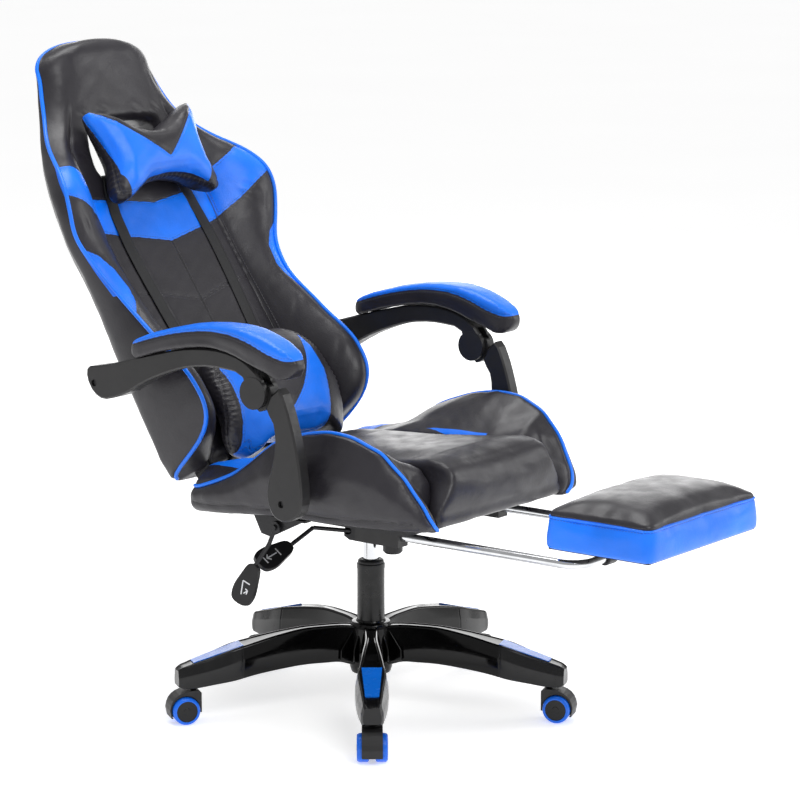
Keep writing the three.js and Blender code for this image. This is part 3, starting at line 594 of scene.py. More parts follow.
def draped(obj, path, lift=0.0, along=None):
    """Points of a path moved onto the piece's surface, or to where a ray along a direction meets it."""
    tree = tree_of(obj)
    out = []
    for p in world(path):
        place = Vector(p)
        found = None
        if along is not None:
            way = Vector(along)
            found = tree.ray_cast(place - way * 0.2, way, 0.5)
        if found is None or found[0] is None:
            found = tree.find_nearest(place)
        out.append(np.array(found[0]) + np.array(found[1]) * lift / 1000)
    return column(out)


def smoothed(path, rounds=3):
    """A path evened out between its fixed ends."""
    path = np.array(path, float)
    for _ in range(rounds):
        before, after = np.roll(path, 1, 0), np.roll(path, -1, 0)
        mean = 0.25 * before + 0.5 * path + 0.25 * after
        mean[0], mean[-1] = path[0], path[-1]
        path = mean
    return path


def set_panels(obj, field, seams, depth=2.0, width=3.5):
    """Colour field and sewn seams of a soft piece, the seams pulled in."""
    points = column(coords(obj))
    best = np.full(len(points), 60.0)
    run = np.zeros(len(points))
    for line in seams:
        gap, along = to_line(points, line)
        closer = gap < best
        best, run = np.where(closer, gap, best), np.where(closer, along, run)
    pushed(obj, -depth * np.exp(-((best / width) ** 2)))
    attribute(obj, "field_mm", field(points))
    attribute(obj, "seam_mm", best)
    attribute(obj, "seam_run_mm", run)


def mirror(points):
    return np.asarray(points, float) * [-1, 1, 1]


# ---------------------------------------------------------------- the back
BACK_LEAN, HEAD_LEAN = math.radians(34.5), math.radians(14)
BACK_FOOT = (205.0, 430.0)
BEND_START, BACK_LENGTH = 468.0, 878.0
BEND_RATE = (BACK_LEAN - HEAD_LEAN) / (BACK_LENGTH - BEND_START)
# Height along the back, half width, the piping's height over the middle, depth where the side
# turns in, depth of the rear face.
BACK_ROWS = [
    [30, 200, -66, -71, -76], [36, 212, -66, -71, -76], [40, 219, -58, -70, -77], [48, 222, -17, -69, -79],
    [59, 225, 36, -68, -80], [76, 229, 71, -66, -80], [92, 232, 87, -62, -80], [107, 235, 95, -58, -80],
    [150, 239, 99, -52, -80], [266, 238, 63, -44, -80], [376, 239, 30, -32, -72], [430, 254, 27, -16, -68],
    [488, 281, 40, 8, -64], [530, 286, 57, 17, -62], [578, 279, 62, 15, -61], [614, 263, 49, 5, -60],
    [680, 217, 2, -24, -58], [740, 177, -28, -42, -57], [785, 160, -38, -46, -57], [825, 147, -42, -48, -56],
    [856, 140, -42, -48, -55], [882, 120, -40, -46, -52],
]
WING_SLOPE = 1.13
HEAD_START, HEAD_RISE, HEAD_HALF = 822.0, 60.0, 148.0
BOLSTER_SEAM_X = 160.0
STRAP_ROWS = [[20, 100], [263, 103], [346, 109], [492, 113], [560, 106], [622, 88]]
WINDOW_S = 668.0
REAR_CROSS_SEAM_S = 560.0
WINDOW = spline([
    [-104, -36], [-94, -48], [0, -44], [94, -48], [104, -36], [92, 36], [80, 46], [-80, 46], [-92, 36],
], 6, closed=True)


def back_line(s):
    s = np.asarray(s, float)
    straight = np.minimum(s, BEND_START)
    lean = BACK_LEAN - BEND_RATE * np.maximum(s - BEND_START, 0)
    y = BACK_FOOT[0] + straight * math.sin(BACK_LEAN) + (np.cos(lean) - math.cos(BACK_LEAN)) / BEND_RATE
    z = BACK_FOOT[1] + straight * math.cos(BACK_LEAN) + (math.sin(BACK_LEAN) - np.sin(lean)) / BEND_RATE
    return y, z, lean


def on_back(s, x, w):
    """The point at height s along the back, x across it and w in front of its middle line."""
    s, x, w = np.broadcast_arrays(*(np.asarray(v, float) for v in (s, x, w)))
    y, z, lean = back_line(s)
    return np.stack([x, y - w * np.cos(lean), z + w * np.sin(lean)], -1)


def back_measure(points):
    """Height along the back, and distance in front of its middle line."""
    y, z = points[:, 1], points[:, 2]
    s = (y - BACK_FOOT[0]) * math.sin(BACK_LEAN) + (z - BACK_FOOT[1]) * math.cos(BACK_LEAN)
    for _ in range(10):
        ly, lz, lean = back_line(s)
        s = s + (y - ly) * np.sin(lean) + (z - lz) * np.cos(lean)
    ly, lz, lean = back_line(s)
    return s, (z - lz) * np.sin(lean) - (y - ly) * np.cos(lean)


def back_sizes(s):
    """Half width, piping height, side depth and rear depth, the half width rounded off over the head."""
    half, edge, side, rear = np.moveaxis(hermite(BACK_ROWS, s), -1, 0)
    q = np.clip((np.asarray(s, float) - HEAD_START) / HEAD_RISE, 0, 0.997)
    half = np.where(q > 0, HEAD_HALF * (1 - q**2.4) ** (1 / 2.4), half)
    return half, edge, side, rear


def strap_x(s):
    return hermite(STRAP_ROWS, s)[..., 0]


BAND_RIGHT = [
    [0, 468], [100, 489], [150, 501], [200, 522], [240, 545], [280, 564], [306, 572], [306, 626], [250, 629],
    [228, 627], [216, 620], [177, 600], [165, 593], [165, 574], [120, 567], [70, 560], [0, 550],
]
BAND = np.array(BAND_RIGHT + [[-x, s] for x, s in BAND_RIGHT[-2:0:-1]], float)
WAIST = np.array([
    [277, 474], [265, 462], [240, 445], [218, 415], [209, 375], [215, 345], [228, 325], [244, 300],
    [330, 300],
    [330, 474],
], float)
CHEVRON = [[-158, 374], [-123, 370], [-80, 362], [0, 342], [80, 362], [123, 370], [158, 374]]
CENTRE_SEAM = [[0, 466], [0, 200]]
# Short creases in the leather, from x, s to x, s, with their depth.
CREASES = [
    [(112, 600), (150, 640), 1.6], [(118, 730), (86, 745), 2.0], [(60, 733), (30, 742), 1.5],
    [(-30, 735), (-66, 746), 1.7], [(-84, 728), (-116, 741), 2.0], [(-118, 640), (-146, 668), 1.6],
    [(205, 556), (242, 520), 1.5], [(196, 540), (224, 505), 1.4], [(262, 520), (250, 480), 1.6],
    [(-258, 524), (-246, 486), 1.6], [(-198, 542), (-232, 514), 1.4], [(176, 250), (204, 300), 1.8],
    [(-178, 262), (-206, 308), 1.8], [(186, 130), (214, 190), 1.6], [(-184, 126), (-215, 184), 1.6],
    [(212, 420), (196, 372), 1.3], [(-211, 424), (-197, 378), 1.3], [(135, 770), (120, 812), 1.2],
]


def seam_x(s):
    half = back_sizes(s)[0]
    return np.minimum(BOLSTER_SEAM_X, 0.72 * half)


def front_seams(flat):
    """Distance to the nearest sewn line on the back's front, and the length along it."""
    x, s = flat.T
    bolster = np.abs(np.abs(x) - seam_x(s)) + 60 * smoothstep(690, 745, s)
    best, run = bolster, s.copy()
    lines = [CHEVRON, CENTRE_SEAM, np.vstack([BAND, BAND[:1]]), WAIST[:8], WAIST[:8] * [-1, 1]]
    for line in lines:
        gap, along = to_line(flat, line)
        closer = gap < best
        best, run = np.where(closer, gap, best), np.where(closer, along, run)
    return best, run


def front_w(s, x, detail=True):
    """Height of the back's front surface over its middle line."""
    half, edge = back_sizes(s)[:2]
    across = np.abs(x)
    base = seam_x(s)
    t = np.clip((across - base) / np.maximum(half - 3 - base, 1), 0, 1)
    body = 1 - smoothstep(700, 770, s)
    up, down = np.maximum(edge, 0), np.minimum(edge, 0)
    w = up * (1 - (1 - t) ** 1.55) + 15 * body * np.sin(math.pi * t) ** 0.9
    w = w + down * (across / half) ** (3.2 + 4.0 * smoothstep(690, 760, s))
    w = w + 5 * body * (1 - (np.minimum(across, base) / base) ** 2) - 3 * body
    fold = 1 - body
    w = w - 1.4 * fold * np.exp(-(((across - base) / 16) ** 2))
    w = w + 3 * fold * np.exp(-((across / (0.5 * half)) ** 2))
    if not detail:
        return w
    flat = np.stack([x, s], -1)
    gap = front_seams(flat)[0]
    sewn = np.abs(across - base)
    w = w - 3.0 * (1 - smoothstep(690, 745, s)) * np.exp(-((sewn / 4.2) ** 2))
    w = w - 0.9 * np.exp(-((gap / 4.0) ** 2))
    under_strap = np.abs(across - strap_x(s))
    w = w - 3.0 * (1 - smoothstep(13, 18, under_strap)) * (1 - smoothstep(605, 640, s))
    for start, end, depth in CREASES:
        away, along = to_line(flat, [start, end])
        size = math.dist(start, end)
        fade = np.clip(np.sin(math.pi * np.clip(along / size, 0.02, 0.98)), 0, 1)
        w = w - depth * fade * np.exp(-((away / 4.5) ** 2))
        w = w + 0.5 * depth * fade * np.exp(-(((away - 9) / 6) ** 2))
    return w


def rolled(depth, distance, radius):
    """How far a surface falls towards a rounded end: depth at the end, nothing beyond the radius."""
    q = np.clip(1 - distance / radius, 0, 1)
    return depth * (1 - np.sqrt(np.clip(1 - q * q, 0, 1)))


def make_back():
    rows = np.concatenate([np.linspace(30.2, 42, 9), np.arange(45, 850, 5.0), np.linspace(850, 881.7, 15)])
    front = np.linspace(-1, 1, 125)
    side = np.linspace(0, 1, 19)[1:-1]
    behind = np.linspace(1, -1, 49)
    rings = []
    for s in rows:
        half, _, turn_in, rear = (float(v) for v in back_sizes(s))
        x = front * (half - 2)
        w = front_w(np.full(len(x), s), x)
        opening = -signed(np.stack([x, np.full(len(x), s - WINDOW_S)], -1), WINDOW)
        w = w - rolled(17, np.maximum(opening, 0), 17) - rolled(9, s - 30, 10) - rolled(24, 882 - s, 34)
        low = rear + rolled(18, 882 - s, 36)
        lip = max(w[-1], low + 4)
        w = np.maximum(w, low + 4)
        bend = min(max(turn_in, low + 2), lip - 2)
        far_half = min(half - 8, half - WING_SLOPE * (bend - low))
        turned = np.clip((side - 0.45) / 0.55, 0, 1)
        out = 5 * np.sin(math.pi * np.clip(side / 0.5, 0, 1)) * min(1.0, (lip - bend) / 30)
        right_x = half - 1 + out + (far_half - half) * turned**1.25
        right_w = np.where(side < 0.5, lip + (bend - lip) * side / 0.5, bend + (low - bend) * (2 * side - 1))
        back_x = behind * (far_half - 5)
        hole = -signed(np.stack([back_x, np.full(len(back_x), s - WINDOW_S)], -1), WINDOW)
        back_w = low - 6 * (1 - np.abs(behind) ** 3) + rolled(14, np.maximum(hole, 0), 14)
        seam = np.abs(np.abs(back_x) - 0.8 * far_half)
        back_w = back_w + 2.5 * np.exp(-((seam / 4) ** 2))
        ring_x = np.concatenate([x, right_x, back_x, -right_x[::-1]])
        ring_w = np.concatenate([w, right_w, back_w, right_w[::-1]])
        rings.append(on_back(s, ring_x, ring_w))
    obj = rings_object("backrest_leather", rings)
    y, z, lean = back_line(WINDOW_S)
    cutter_rings = []
    for w in (-140.0, 140.0):
        ring = [[x, y + v * math.sin(lean) - w * math.cos(lean), z + v * math.cos(lean) + w * math.sin(lean)]
                for x, v in WINDOW]
        cutter_rings.append(ring)
    cutter = rings_object("window_cutter", cutter_rings)
    hole = obj.modifiers.new("window", "BOOLEAN")
    hole.operation = "DIFFERENCE"
    hole.solver = "EXACT"
    hole.object = cutter
    applied(obj)
    bpy.data.objects.remove(cutter)
    obj.data.materials.clear()
    obj.data.materials.append(LEATHER_BACK)
    obj.data.polygons.foreach_set("use_smooth", [True] * len(obj.data.polygons))

    points = column(coords(obj))
    s, w = back_measure(points)
    x = points[:, 0]
    half, _, turn_in, rear = back_sizes(s)
    flat = np.stack([x, s], -1)
    beside_window = 1 - smoothstep(0, 24, -signed(np.stack([x, s - WINDOW_S], -1), WINDOW))
    ahead = w > front_w(s, np.clip(x, 2 - half, half - 2), detail=False) - 7 - 24 * beside_window
    field = np.maximum(signed(flat, BAND), np.maximum(signed(flat, WAIST), signed(flat * [-1, 1], WAIST)))
    gap, run = front_seams(flat)
    far_half = np.minimum(half - 8, half - WING_SLOPE * (turn_in - rear))
    past_seam = np.abs(x) - 0.8 * far_half
    rear_gap = np.minimum(np.abs(past_seam), np.abs(s - REAR_CROSS_SEAM_S) + 20 * (past_seam > 0))
    attribute(obj, "field_mm", np.where(ahead, field, -20))
    attribute(obj, "seam_mm", np.where(ahead, gap, np.where(w < rear + 6, rear_gap, 40)))
    attribute(obj, "seam_run_mm", np.where(ahead, run, s))
    pushed(obj, 0.7 * wobble(points))
    subdivided(obj)
    piece(obj, "backrest", "leather_black", "backrest_cushion")


def make_back_piping():
    s = np.concatenate([[34, 37, 40, 44, 48, 54], np.arange(60, 823, 9.0)])
    half = back_sizes(s)[0]
    w = front_w(s, half - 2, detail=False)
    right = on_back(s, half + 0.5, w + 0.5)
    turn = np.linspace(0, math.pi, 49)[1:-1]
    flip = np.sign(np.cos(turn))
    top_x = 148.5 * flip * np.abs(np.cos(turn)) ** 0.833
    top_s = HEAD_START + (HEAD_RISE - 2.5) * np.sin(turn) ** 0.833
    top = on_back(top_s, top_x, -42 - 3 * np.sin(turn))
    path = np.vstack([right, top, mirror(right)[::-1]])
    piece(tube("backrest_piping", smoothed(path, 2), 3.9, LEATHER_BLUE, 10), "backrest", "leather_blue")


def band(name, path, across, half_wide, thick, material):
    """A flat woven strap along a path, with the direction across it given at each point."""
    path = np.asarray(path, float)
    ahead = np.gradient(path, axis=0)
    ahead /= np.linalg.norm(ahead, axis=1)[:, None]
    across = np.broadcast_to(np.asarray(across, float), path.shape)
    up = np.cross(across, ahead)
    up /= np.linalg.norm(up, axis=1)[:, None]
    right = [(0.8, 0.5), (0.97, 0.35), (1, -0.5)]
    corners = [(-c, h) for c, h in reversed(right)] + [(0, 0.62)] + right + [(0, -0.5)]
    rings = [[p + a * half_wide * c + u * thick * h for c, h in corners]
             for p, a, u in zip(path, across, up)]
    return rings_object(name, rings, [material])


def make_straps():
    for side, sign in (("left", 1), ("right", -1)):
        s = np.arange(46, 600, 12.0)
        x = strap_x(s)
        front = on_back(s, x, front_w(s, x, detail=False) - 0.4 - 1.6 * smoothstep(500, 540, s))
        turn_s = np.array([609, 616, 620, 621, 619, 612.0])
        turn_w = np.array([0, -7, -18, -34, -46, -57.0])
        over = on_back(turn_s, strap_x(turn_s), turn_w)
        back_s = np.arange(600, 46, -12.0)
        rear = back_sizes(back_s)[3]
        down = on_back(back_s, strap_x(back_s), rear - 6.5)
        under = on_back(np.array([38.0, 29, 27, 29, 38]), 100, np.array([-80.0, -68, -40, -12, -2]))
        path = np.vstack([front, over, down, under])
        strap = band(f"lumbar_strap_{side}", path * [sign, 1, 1], [1.0, 0, 0], 13.5, 2.2, STRAP)
        piece(strap, "backrest", "nylon_black")
        path_s = np.array([232.0, 268.0])
        slide = band(f"strap_slide_{side}", on_back(path_s, strap_x(250.0), -89.0) * [sign, 1, 1],
                     [1.0, 0, 0], 17, 5, PLASTIC)
        finish_edges(slide, 1.2)
        piece(slide, "backrest", "plastic_black")


make_back()
make_back_piping()
make_straps()


# ---------------------------------------------------------------- pillows
def back_normal(s):
    lean = float(back_line(s)[2])
    return np.array([0, math.cos(lean), -math.sin(lean)])


def puckers(obj, seam, pitch, height, reach, side):
    """Gathers along a seam, on the side of it where the given function is above zero."""
    points = column(coords(obj))
    gap, run = to_line(points, seam)
    on_side = smoothstep(0, 4, side(points))
    ridge = np.sin(2 * math.pi * run / pitch + 1.3 * np.sin(run / 37))
    pushed(obj, height * ridge * np.exp(-(((gap - 5) / reach) ** 2)) * on_side)


# Middle heights of the lumbar pillow, as in the CAD and as it sits, and how much taller it sits.
LUMBAR_S, LUMBAR_NOW_S, LUMBAR_STRETCH = 166.0, 127.0, 1.2
LUMBAR_ENDS = [
    [118, 214, 82], [148, 165, 78], [154, 135, 77], [160, 103, 71], [164, 79, 59], [167, 58, 42],
    [167, 34, 24],
]
# The blue panel's edges as the pillow sits, a little askew: x and height along the back.
LUMBAR_VEE = [
    [-132, 207], [-112, 165], [-88, 127], [-69, 94], [-38, 60], [-1, 78], [29, 99], [57, 127], [84, 162],
    [104, 207],
]
LUMBAR_RIM = [
    [104, 207], [115, 182], [119, 150], [116, 122], [104, 92], [86, 58], [72, 30], [58, -12], [-156, -12],
    [-150, 20], [-143, 57], [-140, 83], [-138, 112], [-137, 146], [-141, 170], [-132, 207],
]
# The neck pillow's side seam: height along the back, and distance in front of its middle line.
NECK_SIDE = [[543, 55], [561, 62], [595, 60], [641, 48], [692, 37], [727, 28]]
NECK_BLUE = np.array([
    [0, 610], [146, 735], [141, 690], [128, 640], [118, 606], [107, 579], [98, 548], [94, 520], [-114, 520],
    [-116, 548], [-121, 579], [-128, 606], [-136, 640], [-143, 690], [-146, 735],
], float)
NECK_VEE = [[140, 729], [70, 669.5], [0, 610]]


def lowered(points):
    """The lumbar pillow as it sits: pushed down against the seat, and a little taller."""
    s, w = back_measure(points)
    x = points[:, 0]
    corner = smoothstep(70, 160, np.abs(x))
    s = LUMBAR_NOW_S + (s - LUMBAR_S) * (LUMBAR_STRETCH + np.where(s < LUMBAR_S, 0.42, -0.1) * corner)
    w = w - 20 * corner * (1 - smoothstep(20, 110, s))
    return on_back(s, x * (1 + 0.03 * (1 - smoothstep(20, 110, s))), w)


def make_lumbar():
    lumbar = soft_copy("lumbar_pillow", "lumbar_cushion", 0.98, 4.5, 2, 5.0, 12, shape=lowered)
    flat_back = back_normal(LUMBAR_NOW_S)
    blue = np.vstack([spline(LUMBAR_VEE, 7), spline(LUMBAR_RIM, 7)[1:-1]])

    def field(p):
        s, w = back_measure(p)
        return np.minimum(signed(np.stack([p[:, 0], s], -1), blue), w - 24)

    ends = spline(LUMBAR_ENDS, 9)
    end_seam = smoothed(draped(lumbar, on_back(ends[:, 1], ends[:, 0], ends[:, 2])), 3)
    for gathered in (end_seam, mirror(end_seam)):
        puckers(lumbar, gathered, 9.0, 2.2, 10, lambda p: np.full(len(p), 9.0))
    drawn = draped(lumbar, on_back(blue[:, 1], blue[:, 0], 80.0), along=flat_back)
    set_panels(lumbar, field, [drawn, end_seam, mirror(end_seam)], 1.2, 3.0)
    pushed(lumbar, 0.8 * wobble(column(coords(lumbar)), 2.0))
    upholstered(lumbar, "lumbar_pillow", "leather_blue", "lumbar_pillow")
    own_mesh(lumbar)


def make_neck():
    neck = soft_copy("neck_pillow", "neck_cushion", 0.985, 4.5, 3, 5.0, 16)
    away = back_normal(636.0)
    side_s = np.linspace(724, 550, 30)
    right = on_back(side_s, 150.0, hermite(NECK_SIDE, side_s)[:, 0])
    low_x = np.linspace(124, 0, 14)
    below = on_back(556 + 10 * (1 - (low_x / 124) ** 2), low_x, 60.0)
    half_seam = smoothed(draped(neck, np.vstack([right, below])), 3)
    seam = np.vstack([half_seam, mirror(half_seam)[-2::-1]])

    def field(p):
        s, w = back_measure(p)
        return np.minimum(signed(np.stack([p[:, 0], s], -1), NECK_BLUE), w - hermite(NECK_SIDE, s)[:, 0])

    def behind(p):
        s, w = back_measure(p)
        return hermite(NECK_SIDE, s)[:, 0] - w

    puckers(neck, seam, 12.0, 1.5, 12, behind)
    vee = spline(NECK_VEE, 8)
    drawn = draped(neck, on_back(vee[:, 1], vee[:, 0], 80.0), along=away)
    set_panels(neck, field, [seam, drawn, mirror(drawn)], 2.0, 3.4)
    pushed(neck, 0.9 * wobble(column(coords(neck)), 5.0))
    upholstered(neck, "neck_pillow", "leather_blue", "neck_pillow")


make_lumbar()
make_neck()


# ---------------------------------------------------------------- seat
BOLSTER_PIPING = [
    [262, 206, 431], [272, 190, 437], [274, 165, 444], [269, 140, 452], [262, 122, 460], [249, 100, 472],
    [241, 77, 488], [240, 51, 511], [245, 22, 529], [252, -50, 555], [252, -107, 563], [250, -161, 558],
    [247, -189, 548], [242, -215, 536], [239, -236, 519], [234, -255, 496], [229, -273, 472],
    [223, -288, 446],
    [217, -294, 424], [207, -299, 410], [195, -300, 400],
]
CRESCENT = np.array([
    [160, 14], [158, -16], [150, -59], [133, -108], [133, -120], [150, -146], [157, -146], [158, -100],
    [160, -40],
], float)
LOW_SEAM = [[280, 200, 395], [280, 60, 402], [280, -60, 404], [278, -200, 404], [262, -280, 404]]
REAR_SEAM = [[-140, 40, 500], [0, 34, 500], [140, 40, 500]]
REAR_SWELL = [[60, 0], [100, 6], [126, 16], [160, 21], [190, 22], [212, 16]]
FRONT_PIPE_X = [[395, 192], [410, 207], [424, 214], [446, 222], [472, 229], [496, 234], [540, 242]]
# Folds as start, end, depth and width.
CUSHION_FOLDS = [
    ([-149, -262, 487], [-120, -276, 486], 2.5, 5), ([-149, -240, 490], [-112, -262, 495], 2.2, 6),
    ([149, -262, 487], [122, -274, 486], 2.5, 5), ([149, -236, 490], [114, -258, 495], 2.2, 6),
    ([-80, -292, 480], [-20, -300, 462], 1.5, 8), ([40, -296, 474], [100, -300, 458], 1.5, 8),
    ([-149, -120, 486], [-118, -140, 490], 1.8, 6), ([60, 60, 478], [120, 90, 470], 1.8, 9),
    ([-110, 90, 472], [-60, 70, 478], 1.8, 9), ([0, -150, 494], [70, -190, 498], 1.2, 14),
    ([-70, -80, 490], [-10, -50, 486], 1.2, 14),
]
BOLSTER_FOLDS = [
    ([262, -70, 533], [262, -131, 543], 1.2, 12), ([262, -131, 543], [258, -230, 511], 1.2, 12),
    ([190, -256, 480], [220, -262, 500], 2.0, 6), ([172, -240, 480], [205, -230, 505], 2.0, 7),
    ([276, 60, 430], [272, 20, 470], 1.8, 10), ([200, 30, 495], [214, 70, 480], 2.0, 8),
    ([170, -60, 490], [205, -40, 512], 1.5, 8), ([168, -150, 493], [200, -170, 516], 1.6, 8),
]
REAR_WEDGE = np.array([
    [186, 215], [215, 215], [224, 165], [231, 130], [238, 98], [250, 80], [236, 64], [198, 112], [186, 140],
], float)


def seat_field(p):
    flat = np.stack([np.abs(p[:, 0]), p[:, 1]], -1)
    field = np.maximum(signed(flat, CRESCENT), signed(flat, REAR_WEDGE))
    return np.where(p[:, 2] > 430, field, -20)


def ruffled(obj, creases, seed):
    """Soft folds in the leather from a list of start, end, depth and width in millimetres."""
    points = column(coords(obj))
    push = 0.9 * wobble(points, seed)
    for start, end, depth, width in creases:
        gap, along = to_line(points, [start, end])
        size = math.dist(start, end)
        fade = np.sin(math.pi * np.clip(along / size, 0.03, 0.97))
        push = push - depth * fade * np.exp(-((gap / width) ** 2))
    pushed(obj, push)


def flared(points):
    """The cushion's front roll widens downwards, to the foot of the side bolsters."""
    out = points.copy()
    share = smoothstep(-222, -285, points[:, 1]) * smoothstep(486, 405, points[:, 2])
    out[:, 0] *= 1 + 0.29 * share
    return out


def hollowed(points):
    """The bolster's front falls away beside the cushion, and its rear swells inside the piping."""
    out = points.copy()
    swell = hermite(REAR_SWELL, points[:, 1])[:, 0]
    reach = np.exp(-(((np.abs(points[:, 0]) - 210) / 24) ** 2)) * smoothstep(400, 425, points[:, 2])
    out[:, 2] += swell * reach * smoothstep(55, 70, points[:, 1])
    pipe = hermite(FRONT_PIPE_X, points[:, 2])[:, 0]
    share = smoothstep(4, 30, pipe - np.abs(points[:, 0])) * smoothstep(-205, -292, points[:, 1])
    out[:, 1] += 44 * share
    return out


def make_seat():
    def low(p):
        return 1 - smoothstep(398, 424, p[:, 2])

    cushion = soft_copy("seat_cushion", "seat_cushion_leather", 0.985, 5.0, 6, 4.0, 15, low, flared, 70)
    ruffled(cushion, CUSHION_FOLDS, 1.0)
    seam = draped(cushion, spline(REAR_SEAM, 8), along=np.array([0.0, 0.0, -1.0]))
    set_panels(cushion, seat_field, [seam], 2.0, 4.0)
    upholstered(cushion, "seat", "leather_black", "seat_cushion")

    for side, sign in (("left", 1), ("right", -1)):
        flip = np.array([sign, 1, 1])
        node = f"seat_bolster_{side}"
        bolster = soft_copy(node, f"seat_bolster_leather_{side}", 0.99, 5.0, 4, 4.0, 14, low, hollowed, 70)
        folds = [(np.array(a) * flip, np.array(b) * flip, d, w) for a, b, d, w in BOLSTER_FOLDS]
        ruffled(bolster, folds, 3.0 + sign)
        path = smoothed(draped(bolster, spline(np.array(BOLSTER_PIPING) * flip, 5)), 4)
        lines = [path, draped(bolster, spline(np.array(LOW_SEAM) * flip, 8))]
        set_panels(bolster, seat_field, lines, 3.0, 5.0)
        upholstered(bolster, "seat", "leather_black", node)
        lifted = smoothed(draped(bolster, path, 1.6), 3)
        piece(tube(f"seat_piping_{side}", lifted, 3.3, LEATHER_BLUE, 10), "seat", "leather_blue")


make_seat()


# ---------------------------------------------------------------- arm pads and footrest pad
PAD_SEAM = [
    [-112, 690], [-100, 689], [-83, 687], [-50, 695], [-9, 711], [31, 721], [69, 724], [121, 720], [170, 711],
    [216, 699], [245, 690], [275, 681],
]


PAD_UNDERSIDE = [[-110, 652], [-40, 664], [30, 694], [72, 700], [117, 699], [212, 680], [275, 664]]
ARM_X, PAD_SEAM_OFFSETS = 317, (-30, 31)


def make_arm_pads():
    def under(p):
        return 1 - smoothstep(0, 10, p[:, 2] - hermite(PAD_UNDERSIDE, p[:, 1])[:, 0])

    def height(y):
        return hermite(PAD_SEAM, y)[:, 0]

    for side, sign in (("left", 1), ("right", -1)):
        pad = soft_copy(f"arm_pad_{side}", f"arm_pad_leather_{side}", 0.985, 4.0, 6, 4.0, 9, under)
        points = column(coords(pad))
        crown = np.clip(points[:, 2] - height(points[:, 1]), 0, 12) / 12
        pushed(pad, 1.5 * crown + 0.6 * wobble(points, 7 + sign))
        y = np.linspace(-104, 262, 60)
        lines = []
        for offset in PAD_SEAM_OFFSETS:
            x = np.full(len(y), sign * (ARM_X + offset))
            lines.append(draped(pad, np.stack([x, y, height(y)], -1)))
        set_panels(pad, lambda p: p[:, 2] - height(p[:, 1]), lines, 1.6, 3.0)
        upholstered(pad, f"arm_bar_{side}", "leather_black", f"arm_pad_{side}")


PAD_Y, PAD_SEAM_Z = -600, 449.5
PAD_HALF_X, PAD_HALF_Y, PAD_CORNER = 177.0, 107.0, 18.0
RAIL_X, RAIL_FRONT_Y, RAIL_REAR_Y, RAIL_Z, RAIL_BEND = 150, -551, -95, 366, 34.0


def make_footrest():
    def hold(p):
        return 1 - smoothstep(408, 448, p[:, 2])

    def skirted(p):
        out = p.copy()
        out[:, 2] -= 9 * smoothstep(425, 404, p[:, 2])
        return out

    pad = soft_copy("footrest_pad", "footrest_cushion", 0.99, 4.5, 2, 4.0, 12, hold, skirted)
    points = column(coords(pad))
    reach = (1 - (np.abs(points[:, 0]) / 180) ** 2.6) * (1 - (np.abs(points[:, 1] - PAD_Y) / 110) ** 2.6)
    points[:, 2] += 17 * np.clip(reach, 0, 1) ** 0.8 * smoothstep(440, 452, points[:, 2])
    set_coords(pad, world(points))
    pushed(pad, 0.6 * wobble(points, 9.0) * smoothstep(404, 412, points[:, 2]))
    in_x, in_y = PAD_HALF_X - PAD_CORNER, PAD_HALF_Y - PAD_CORNER
    ring = []
    for turn in range(4):
        x, y = [(in_x, in_y), (-in_x, in_y), (-in_x, -in_y), (in_x, -in_y)][turn]
        for a in turn * math.pi / 2 + np.linspace(0, math.pi / 2, 7):
            across, along = x + PAD_CORNER * math.cos(a), y + PAD_CORNER * math.sin(a)
            ring.append([across, along + PAD_Y, PAD_SEAM_Z])
    ring = np.vstack([ring, ring[:1]])
    dense = np.vstack([np.linspace(a, b, 9)[:-1] for a, b in zip(ring[:-1], ring[1:])] + [ring[-1:]])
    seam = smoothed(draped(pad, dense), 2)
    set_panels(pad, lambda p: PAD_SEAM_Z - p[:, 2], [seam], 1.6, 3.0)
    upholstered(pad, "footrest_pad", "leather_blue", "footrest_pad")
    edge = smoothed(draped(pad, dense, 0.6), 2)
    cord = tube("footrest_piping", edge[:-1], 1.7, LEATHER_BLUE, 8, closed=True)
    piece(cord, "footrest_pad", "leather_blue")

    turn = np.linspace(0, math.pi / 2, 9)
    bend_x = RAIL_X - RAIL_BEND + RAIL_BEND * np.cos(turn)
    bend_y = RAIL_FRONT_Y + RAIL_BEND - RAIL_BEND * np.sin(turn)
    straight = [[RAIL_X, y, RAIL_Z] for y in np.linspace(RAIL_REAR_Y, RAIL_FRONT_Y + RAIL_BEND + 5, 24)]
    cross = [[x, RAIL_FRONT_Y, RAIL_Z] for x in (60, 0)]
    right = np.vstack([straight, np.stack([bend_x, bend_y, np.full(9, RAIL_Z)], -1), cross])
    path = np.vstack([right, mirror(right)[-2::-1]])
    piece(tube("footrest_rail", path, 8.0, CHROME, 24), "footrest", "chrome", "footrest_frame")


make_arm_pads()
make_footrest()


# ---------------------------------------------------------------- base, casters and gas lift
LEG_ANGLES = [-142 + 72 * k for k in range(5)]
CASTER_R, CASTER_TRAIL, WHEEL_R = 335, 18, 25
UPRIGHT = [0, 0, 1]
CENTRE = [0, 0, 0]


def turned_about(points, degrees):
    """Points turned about the gas column."""
    c, s = math.cos(math.radians(degrees)), math.sin(math.radians(degrees))
    return np.asarray(points, float) @ np.array([[c, s, 0], [-s, c, 0], [0, 0, 1]])


